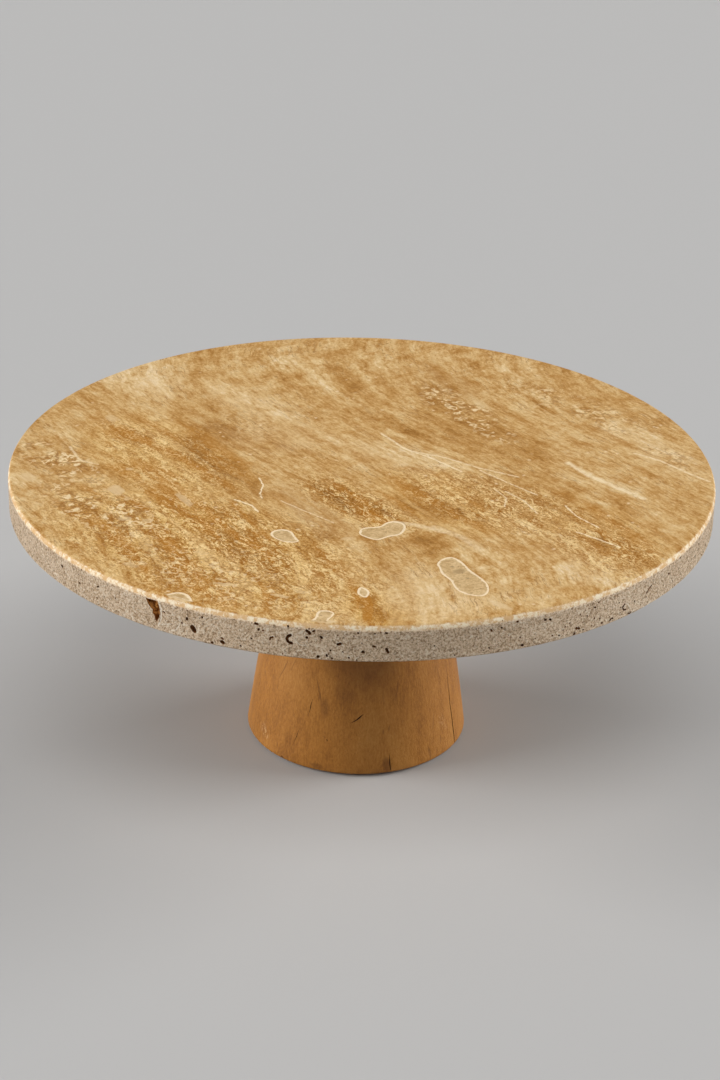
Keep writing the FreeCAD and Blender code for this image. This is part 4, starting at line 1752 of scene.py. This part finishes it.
@dataclass
class StonePlate:
    """The travertine plate with its pockets, bore, pits and fillings."""

    segments: int = 1440
    edge_reach: float = 1.6
    edge_drop: float = 2.6
    underside_bevel: float = 0.7
    fill_depth: float = 2.6
    bore_radius: float = 8.0
    bore_depth: float = 10.8
    roughness: float = 0.2
    box_gap: float = 0.03
    outline_step: float = 0.45
    dish: tuple[Point2, ...] = ((0.0, 0.0), (0.3, -0.015), (0.7, -0.04), (1.1, -0.06), (1.6, -0.07))
    gouge_sides: int = 10
    fill_nodes: tuple[str, ...] = (
        "fill_long_right",
        "fill_centre",
        "fill_left",
        "fill_small_oval",
        "fill_front_edge",
        "fill_left_edge",
    )
    slot_outline: tuple[Point2, ...] = (
        (-3.4, -2.9), (2.2, -2.7), (2.9, -5.0), (3.3, -7.5), (2.8, -9.6), (1.7, -11.7),
        (0.9, -11.0), (0.7, -9.3), (-0.3, -8.5), (-0.2, -6.9), (-1.4, -6.2), (-2.4, -5.0),
    )
    slot_turn: float = -121.3
    slot_depth: float = 1.9
    radius: float = field(init=False)
    top: float = field(init=False)
    under: float = field(init=False)

    def __post_init__(self) -> None:
        """Read the plate's real size from the frame."""
        low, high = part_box("travertine_plate")
        self.radius = high.x / MM - self.box_gap
        self.top = high.z / MM
        self.under = low.z / MM

    def build(self) -> None:
        """Make the plate and its fillings, and dress them."""
        stone = Travertine(self.radius, self.top).material()
        pit = PitLining().material()
        stained = StainedPit().material()
        filler = Filler().material()

        plate = self._blank()
        for material in (stone, pit, stained):
            plate.data.materials.append(material)
        pits = [
            PitScatter(Side.RIM, 1.5, 0.07, 0.16, 0.62, 7, 0.25).cutters(plate, pit),
            PitScatter(Side.UNDERSIDE, 4.5, 0.012, 0.3, 1.7, 11, 0.6).cutters(plate, pit),
        ]
        outlines = {name: self._outline(name) for name in self.fill_nodes}
        pockets = [
            prism(f"pocket_{name}", outline, self.top - self.fill_depth, self.top + 1.0)
            for name, outline in outlines.items()
        ]
        bore = prism(
            "bore", circle(self.bore_radius, 64), self.under - 1.0, self.under + self.bore_depth
        )
        cut(plate, join_meshes("pockets", [*pockets, bore]))
        for cutter in pits:
            line_with(cutter, plate, 1)
            cut(plate, cutter)
        gouges = join_meshes("gouges", [self._gouge(g, i) for i, g in enumerate(RIM_GOUGES)])
        line_with(gouges, plate, 1)
        cut(plate, gouges)
        slot = self._slot()
        line_with(slot, plate, 2)
        cut(plate, slot)
        smooth_by_angle(plate, 40)
        plate.name = "stone_plate"
        dress(plate, replaces=["travertine_plate"])

        for name, outline in outlines.items():
            filling = self._filling(f"stone_{name}", outline)
            filling.data.materials.append(filler)
            dress(filling, replaces=[name])

    def _blank(self) -> Thing:
        """The uncut plate: flat faces, an eased top edge, and a slightly uneven rim.

        Returns:
            The object.
        """
        flat = self.radius - self.edge_reach
        profile = [(flat - 0.6, self.top)]
        for step in range(9):
            angle = math.radians(90 * step / 8)
            profile.append(
                (
                    flat + self.edge_reach * math.sin(angle),
                    self.top - self.edge_drop * (1 - math.cos(angle)),
                )
            )
        low = self.under + self.underside_bevel
        rows = 20
        start = self.top - self.edge_drop
        profile += [(self.radius, start + (low - start) * i / rows) for i in range(1, rows + 1)]
        profile.append((self.radius - self.underside_bevel, self.under))
        profile.append((self.radius - self.underside_bevel - 0.6, self.under))
        blank = lathe("plate_blank", profile, self.segments)
        self._roughen(blank)
        return blank

    def _roughen(self, blank: Thing) -> None:
        """Push the raw rim in by a fraction of a millimetre, unevenly.

        Args:
            blank: the uncut plate.
        """
        for vertex in blank.data.vertices:
            x, y, z = vertex.co / MM
            reach = math.hypot(x, y)
            if reach < self.radius - 1.2:
                continue
            raw = min(1.0, max(0.0, (self.top - z - 1.6) / 1.6))
            dent = abs(wrinkle((x, y, z), 3.4, 3.1)) + 0.6 * abs(wrinkle((x, y, z), 1.5, 8.7))
            chip = max(0.0, wrinkle((x, y, z), 9.0, 5.5) - 0.25) * (1 - raw) * 1.2
            push = self.roughness * dent * raw + chip * 0.25
            scale = (reach - push) / reach
            vertex.co = (x * scale * MM, y * scale * MM, vertex.co.z)
        blank.data.update()

    def _outline(self, node: str) -> list[Point2]:
        """The outline of a filling's flat top, in order, from its CAD solid.

        Args:
            node: the filling's node.

        Returns:
            The outline, anticlockwise.
        """
        bm = bmesh.new()
        bm.from_mesh(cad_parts[node].data)
        bmesh.ops.remove_doubles(bm, verts=bm.verts, dist=1e-6)
        level = self.top * MM
        keep = [f for f in bm.faces if all(abs(v.co.z - level) < 1e-5 for v in f.verts)]
        bmesh.ops.delete(bm, geom=[f for f in bm.faces if f not in set(keep)], context="FACES")
        links: dict[int, list[int]] = {}
        bm.verts.index_update()
        places = {v.index: (v.co.x / MM, v.co.y / MM) for v in bm.verts}
        for edge in bm.edges:
            if edge.is_boundary:
                a, b = (v.index for v in edge.verts)
                links.setdefault(a, []).append(b)
                links.setdefault(b, []).append(a)
        bm.free()
        first = min(links)
        order, before, here = [first], first, links[first][0]
        while here != first:
            order.append(here)
            here, before = next(n for n in links[here] if n != before), here
        outline = [places[i] for i in order]
        area = sum(a[0] * b[1] - b[0] * a[1] for a, b in zip(outline, outline[1:] + outline[:1]))
        outline = outline if area > 0 else outline[::-1]
        return self._respaced(outline, self.outline_step)

    @staticmethod
    def _respaced(outline: Sequence[Point2], step: float) -> list[Point2]:
        """The same closed outline with its points about evenly spaced.

        Args:
            outline: the outline.
            step: the spacing.

        Returns:
            The new outline.
        """
        points = np.array([*outline, outline[0]], float)
        lengths = np.hypot(*np.diff(points, axis=0).T)
        marks = np.concatenate([[0.0], np.cumsum(lengths)])
        count = int(marks[-1] / step)
        wanted = np.linspace(0, marks[-1], count, endpoint=False)
        xs, ys = (np.interp(wanted, marks, points[:, k]) for k in (0, 1))
        return [(float(x), float(y)) for x, y in zip(xs, ys)]

    def _filling(self, name: str, outline: Sequence[Point2]) -> Thing:
        """One filling: its walls, a faintly dished face, and the distance from its edge.

        Args:
            name: its name.
            outline: the outline of its top.

        Returns:
            The object.
        """
        rim = np.array(outline)
        ahead, behind = np.roll(rim, -3, 0), np.roll(rim, 3, 0)
        along = ahead - behind
        along /= np.hypot(along[:, 0], along[:, 1])[:, None]
        inward = np.stack([-along[:, 1], along[:, 0]], 1)
        lengths = np.hypot(*(np.roll(rim, -1, 0) - rim).T)
        area = np.sum(rim[:, 0] * np.roll(rim[:, 1], -1) - rim[:, 1] * np.roll(rim[:, 0], -1)) / 2
        widest = self.dish[-1][0]
        room = min(1.0, float(area / lengths.sum()) / widest)
        steps = [(distance * room, dip) for distance, dip in self.dish]
        count = len(rim)
        verts, reach = [], []
        for distance, dip in steps:
            for x, y in rim + inward * distance:
                verts.append((x, y, self.top + dip))
                at_rim = math.hypot(x, y) > self.radius - self.edge_reach - 0.6
                reach.append(widest if at_rim else distance)
        for x, y in rim:
            verts.append((x, y, self.top - self.fill_depth))
            reach.append(0.0)
        faces = ring_faces(len(steps), count)
        last = (len(steps) - 1) * count
        floor = len(steps) * count
        faces.append(tuple(range(last, last + count)))
        for i in range(count):
            j = (i + 1) % count
            faces.append((floor + i, floor + j, j, i))
        faces.append(tuple(reversed(range(floor, floor + count))))
        made = make_object(name, verts, faces)
        attribute = made.data.attributes.new("from_edge_mm", "FLOAT", "POINT")
        attribute.data.foreach_set("value", reach)
        smooth_by_angle(made, 40)
        return made

    def _rim_point(self, turn: float, along: float, height: float, depth: float) -> tuple:
        """A point at a distance along the rim, below its top edge and inside its surface.

        Args:
            turn: where it lies round the rim, in degrees from +X.
            along: how far along the rim from there.
            height: how far up from the top edge.
            depth: how far in from the surface.

        Returns:
            The point.
        """
        angle = math.radians(turn) + along / self.radius
        reach = self.radius - depth
        return reach * math.cos(angle), reach * math.sin(angle), self.top + height

    def _gouge(self, gouge: Gouge, seed: int) -> Thing:
        """A lumpy tube along the gouge's line, half sunk in the rim, closed at both ends.

        Args:
            gouge: the gouge.
            seed: its number, which shapes its lumps.

        Returns:
            The object.
        """
        sides = self.gouge_sides
        line = [gouge.points[0]]
        for a, b in zip(gouge.points, gouge.points[1:]):
            pieces = max(1, round(math.dist(a, b) / 0.45))
            line += [
                (a[0] + (b[0] - a[0]) * k / pieces, a[1] + (b[1] - a[1]) * k / pieces)
                for k in range(1, pieces + 1)
            ]
        start, end = Vector(line[0]), Vector(line[-1])
        lead = (start - Vector(line[1])).normalized() * gouge.radius * 0.7
        tail = (end - Vector(line[-2])).normalized() * gouge.radius * 0.7
        line = [tuple(start + lead), *line, tuple(end + tail)]
        verts = []
        for index, (along, height) in enumerate(line):
            before = Vector(line[max(0, index - 1)])
            after = Vector(line[min(len(line) - 1, index + 1)])
            run = (after - before).normalized()
            across = Vector((-run.y, run.x))
            tip = index in (0, len(line) - 1)
            for side in range(sides):
                angle = 2 * math.pi * side / sides
                lump = 1 + 0.35 * wrinkle((along, height, angle), 0.8, seed * 1.7)
                wide = (gouge.radius + 0.08) * (0.45 if tip else 1.0) * lump
                offset = across * math.cos(angle) * wide
                depth = gouge.depth * (0.5 if tip else 1.0) * math.sin(angle) * lump
                verts.append(
                    self._rim_point(gouge.turn, along + offset.x, height + offset.y, max(depth, -0.5))
                )
        made = make_object(f"gouge_{seed}", verts, ring_faces(len(line), sides, True))
        face_outwards(made)
        return made

    def _slot(self) -> Thing:
        """The large slanted slot in the rim, narrowing a little inwards, with an uneven floor.

        Returns:
            The object.
        """
        outline = self._respaced(self.slot_outline, 0.5)
        middle = np.mean(outline, axis=0)
        layers = [(-0.6, 1.0), (0.4, 1.0), (1.4, 0.93), (self.slot_depth, 0.8)]
        count = len(outline)
        verts = []
        for depth, scale in layers:
            for x, y in outline:
                along = middle[0] + (x - middle[0]) * scale
                height = middle[1] + (y - middle[1]) * scale
                ragged = 0.22 * wrinkle((along, height, depth), 0.9, 2.2)
                verts.append(
                    self._rim_point(
                        self.slot_turn, along + ragged, height + ragged * 0.5, depth + ragged
                    )
                )
        made = make_object("slot", verts, ring_faces(len(layers), count, True))
        face_outwards(made)
        return made


# ---------------------------------------------------------------------------------------------
# The wooden foot
# ---------------------------------------------------------------------------------------------


@dataclass(frozen=True)
class WoodCheck:
    """A drying check, gouge or dent in the foot's side.

    Attributes:
        points: its middle line, each point a turn in degrees from +X and a height in millimetres.
        widths: its width at each point.
        depth: its depth where it is widest.
        waver: how much its line wanders.
    """

    points: tuple[Point2, ...]
    widths: tuple[float, ...]
    depth: float
    waver: float = 1.0


WOOD_CHECKS = (
    WoodCheck(((-25.3, 38.0), (-26.2, 21.6), (-25.6, 8.0), (-25.3, 1.7)), (0.1, 0.5, 0.6, 0.4), 2.0),
    WoodCheck(((-93.0, 24.6), (-90.0, 26.2), (-88.0, 27.4), (-86.0, 29.0)), (0.1, 0.5, 0.7, 0.15), 0.9),
    WoodCheck(((-71.9, 10.5), (-71.6, 6.0), (-71.2, 2.2)), (0.1, 0.5, 0.35), 0.9),
    WoodCheck(((-115.4, 33.2), (-116.1, 29.5), (-116.9, 25.6)), (0.1, 0.42, 0.1), 0.7),
    WoodCheck(((-121.4, 18.2), (-122.8, 14.5), (-124.6, 9.8)), (0.08, 0.32, 0.08), 0.6),
    WoodCheck(((-105.5, 16.4), (-105.2, 15.9), (-104.9, 15.4)), (0.15, 0.6, 0.15), 0.5, 0.0),
    WoodCheck(((-131.6, 2.6), (-131.0, 2.0), (-130.4, 1.5)), (0.15, 0.6, 0.2), 0.6, 0.0),
    WoodCheck(((58.0, 42.0), (57.2, 22.0), (58.4, 3.0)), (0.1, 0.4, 0.3), 1.2),
    WoodCheck(((148.0, 30.0), (149.5, 14.0), (149.0, 2.0)), (0.08, 0.36, 0.3), 1.0),
)


@dataclass
class WoodenFoot:
    """The turned foot, its plug, pads, gasket and hardware."""

    segments: int = 288
    belly: float = 1.2
    base_round: float = 1.4
    top_round: float = 1.0
    bolt_hole_radius: float = 4.5
    counterbore_radius: float = 13.0
    counterbore_top: float = 24.4
    recess_radius: float = 6.2
    recess_top: float = 2.0
    check_steps: int = 8
    base_radius: float = 48.8
    top_radius: float = 29.0
    low: float = field(init=False)
    high: float = field(init=False)

    def __post_init__(self) -> None:
        """Read the foot's real size from the frame."""
        low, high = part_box("turned_foot")
        self.low = low.z / MM
        self.high = high.z / MM

    def side_radius(self, height: float) -> float:
        """The radius of the foot's side at a height above its underside.

        Args:
            height: the height.

        Returns:
            The radius.
        """
        share = height / (self.high - self.low)
        cone = self.base_radius + (self.top_radius - self.base_radius) * share
        return cone + 4 * self.belly * share * (1 - share)

    def build(self) -> None:
        """Make the foot and dress everything that belongs to it."""
        foot = self._turned()
        foot.data.materials.append(
            Hardwood().material(lambda height: self.side_radius(height - self.low))
        )
        foot.data.materials.append(
            Plain("check_shadow", srgb(58, 32, 14), srgb(84, 50, 24), 0.9).material()
        )
        recesses = []
        for number in range(1, 5):
            low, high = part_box(f"foot_pad_{number}")
            centre = tuple((low[k] + high[k]) / 2 / MM for k in (0, 1))
            recesses.append(
                prism(
                    f"recess_{number}",
                    circle(self.recess_radius, 48, centre),
                    self.low - 1.0,
                    self.recess_top,
                )
            )
        cut(foot, join_meshes("recesses", recesses))
        checks = join_meshes("checks", [self._check(check, i) for i, check in enumerate(WOOD_CHECKS)])
        line_with(checks, foot, 1)
        cut(foot, checks)
        smooth_by_angle(foot, 35)
        foot.name = "wooden_foot"
        dress(foot, ["turned_foot"])

        plug = Hardwood(name="plug_hardwood", pith=(30.0, -20.0), ring_width=3.0).material()
        silicone = Plain("pad_silicone", srgb(92, 90, 86), srgb(78, 76, 73), 0.55, 0.0, 2.5, 0.00005)
        steel = Plain("plated_steel", srgb(196, 198, 200), srgb(176, 180, 186), 0.32, 1.0, 3.0)
        brass = Plain("machined_brass", srgb(214, 178, 98), srgb(188, 146, 74), 0.3, 1.0, 3.0)
        bed = Plain("cast_bedding", srgb(222, 214, 190), srgb(204, 194, 166), 0.45)
        cork = Plain("cork_rubber", srgb(146, 100, 62), srgb(88, 56, 34), 0.9, 0.0, 1.2, 0.0002)
        dress_node("bore_plug", plug)
        pad = silicone.material()
        for number in range(1, 5):
            dress_node(f"foot_pad_{number}", pad)
        plated = steel.material()
        for node in ("clamp_bolt", "flat_washer", "spring_washer"):
            dress_node(node, plated)
        dress_node("threaded_insert", brass.material())
        dress_node("insert_resin", bed.material())
        dress_node("seat_gasket", cork.material())

    def _turned(self) -> Thing:
        """The foot as it comes off the lathe, bored and counterbored.

        Returns:
            The object.
        """
        height = self.high - self.low
        profile: list[Point2] = []
        for step in range(7):
            angle = math.radians(90 * step / 6)
            profile.append(
                (
                    self.top_radius - self.top_round * (1 - math.sin(angle)) + 0.1,
                    self.high - self.top_round * (1 - math.cos(angle)),
                )
            )
        rows = 48
        first, last = height - self.top_round - 1.0, self.base_round + 1.0
        for row in range(rows + 1):
            level = first + (last - first) * row / rows
            profile.append((self.side_radius(level), self.low + level))
        corner = self.side_radius(self.base_round)
        for step in range(8):
            angle = math.radians(90 * step / 7)
            profile.append(
                (
                    corner - self.base_round * (1 - math.cos(angle)),
                    self.low + self.base_round * (1 - math.sin(angle)),
                )
            )
        profile += [
            (self.counterbore_radius, self.low),
            (self.counterbore_radius, self.counterbore_top),
            (self.bolt_hole_radius, self.counterbore_top),
            (self.bolt_hole_radius, self.high),
        ]
        return lathe("foot_blank", profile, self.segments, loop=True)

    def _check(self, check: WoodCheck, number: int) -> Thing:
        """A thin wedge along the check's line, which cuts it into the side.

        Args:
            check: the check.
            number: its number, which shapes how it wavers.

        Returns:
            The object.
        """
        stations = []
        for part in range(len(check.points) - 1):
            for step in range(self.check_steps):
                stations.append(part + step / self.check_steps)
        stations.append(float(len(check.points) - 1))
        marks = np.arange(len(check.points))
        turns, heights = (
            np.interp(stations, marks, [point[k] for point in check.points]) for k in (0, 1)
        )
        widths = np.interp(stations, marks, check.widths)
        verts = []
        for index, (turn, height, width) in enumerate(zip(turns, heights, widths)):
            waver = 0.25 * check.waver * wrinkle((turn, height, 0.0), 3.0, number * 2.3)
            reach = self.side_radius(height - self.low)
            ahead = min(index + 1, len(turns) - 1)
            behind = max(index - 1, 0)
            swing = math.radians(turns[ahead] - turns[behind]) * reach
            rise = heights[ahead] - heights[behind]
            run = math.hypot(swing, rise)
            across = (rise / run, -swing / run)
            for share, depth in ((-0.6, -0.25), (0.6, -0.25), (0.0, None)):
                offset = share * width + waver
                angle = math.radians(turn) + across[0] * offset / reach
                out = reach - (depth if depth else check.depth * width / max(check.widths))
                verts.append(
                    (out * math.cos(angle), out * math.sin(angle), height + across[1] * offset)
                )
        made = make_object(f"check_{number}", verts, ring_faces(len(turns), 3, True))
        face_outwards(made)
        return made


def dress_node(node: str, material: Material) -> None:
    """Give a CAD node that stays as it is a better material.

    Args:
        node: the node.
        material: its material.
    """
    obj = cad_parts[node]
    obj.data.materials.clear()
    obj.data.materials.append(material)
    LOG.info("%s: kept, with %s", node, material.name)


# ---------------------------------------------------------------------------------------------
# The studio
# ---------------------------------------------------------------------------------------------


@dataclass
class Studio:
    """A pale floor, soft lights and the camera."""

    lens: float = 77.53
    distance: float = 0.9942
    elevation: float = 23.80
    pan: float = -0.01
    tilt: float = 1.935
    roll: float = -1.44
    softness: float = 36.0
    floor_reach: float = 6000.0
    floor_shade: float = 0.5
    ambient: float = 0.14

    def build(self) -> None:
        """Add the floor, the lights and the camera, with colours shown as they are."""
        bpy.context.scene.view_settings.view_transform = "Standard"
        self._floor()
        self._world()
        self._light("left_key", (-1.3, -0.1, 0.46), 2.82, (1.0, 0.985, 0.97))
        self._light("right_key", (1.3, 0.3, 0.46), 2.66, (1.0, 0.985, 0.97))
        self._light("front_fill", (0.0, -0.72, 1.12), 1.0, (1.0, 0.985, 0.96))
        self._camera()

    def _floor(self) -> None:
        """A large pale floor at the object's base."""
        size = self.floor_reach
        corners = [(-size, -size, 0), (size, -size, 0), (size, size, 0), (-size, size, 0)]
        floor = make_object("floor", corners, [(0, 1, 2, 3)])
        shade = (self.floor_shade, self.floor_shade, self.floor_shade)
        m = Maker("pale_floor")
        floor.data.materials.append(m.finish(Base_Color=shade, Roughness=0.9))

    def _world(self) -> None:
        """Even soft light from all round."""
        world = bpy.data.worlds.new("studio")
        bpy.context.scene.world = world
        world.use_nodes = True
        background = world.node_tree.nodes["Background"]
        background.inputs["Color"].default_value = (0.95, 0.97, 1.0, 1.0)
        background.inputs["Strength"].default_value = self.ambient

    def _light(
        self, name: str, source: tuple[float, float, float], strength: float, colour: Colour
    ) -> None:
        """A broad soft light, so far away that it falls on the whole floor alike.

        Args:
            name: the light's name.
            source: the direction that it comes from.
            strength: its strength, in watts per square metre.
            colour: its colour.
        """
        data = bpy.data.lights.new(name, "SUN")
        data.angle = math.radians(self.softness)
        data.energy = strength
        data.color = colour
        light = bpy.data.objects.new(name, data)
        bpy.context.scene.collection.objects.link(light)
        light.rotation_euler = (-Vector(source)).to_track_quat("-Z", "Y").to_euler()

    def _camera(self) -> None:
        """A camera on the plate's centre line, in front of it and above."""
        data = bpy.data.cameras.new("camera")
        data.lens = self.lens
        data.sensor_fit = "AUTO"
        data.sensor_width = 36.0
        data.clip_end = 100.0
        camera = bpy.data.objects.new("camera", data)
        bpy.context.scene.collection.objects.link(camera)
        rise = math.radians(self.elevation)
        back = Vector((0.0, -math.cos(rise), math.sin(rise)))
        right = Vector((1.0, 0.0, 0.0))
        level = Matrix((right, back.cross(right), back))
        turned = (
            Matrix.Rotation(math.radians(self.roll), 3, "Z")
            @ Matrix.Rotation(math.radians(self.tilt), 3, "X")
            @ Matrix.Rotation(math.radians(self.pan), 3, "Y")
            @ level
        )
        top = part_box("travertine_plate")[1].z
        place = back * self.distance + Vector((0.0, 0.0, top))
        camera.matrix_world = Matrix.Translation(place) @ turned.transposed().to_4x4()
        bpy.context.scene.camera = camera


def main() -> None:
    """Build the stand's looks around its frame."""
    logging.basicConfig(level=logging.INFO, format="%(message)s")
    StonePlate().build()
    WoodenFoot().build()
    Studio().build()


if __name__ == "__main__":
    main()
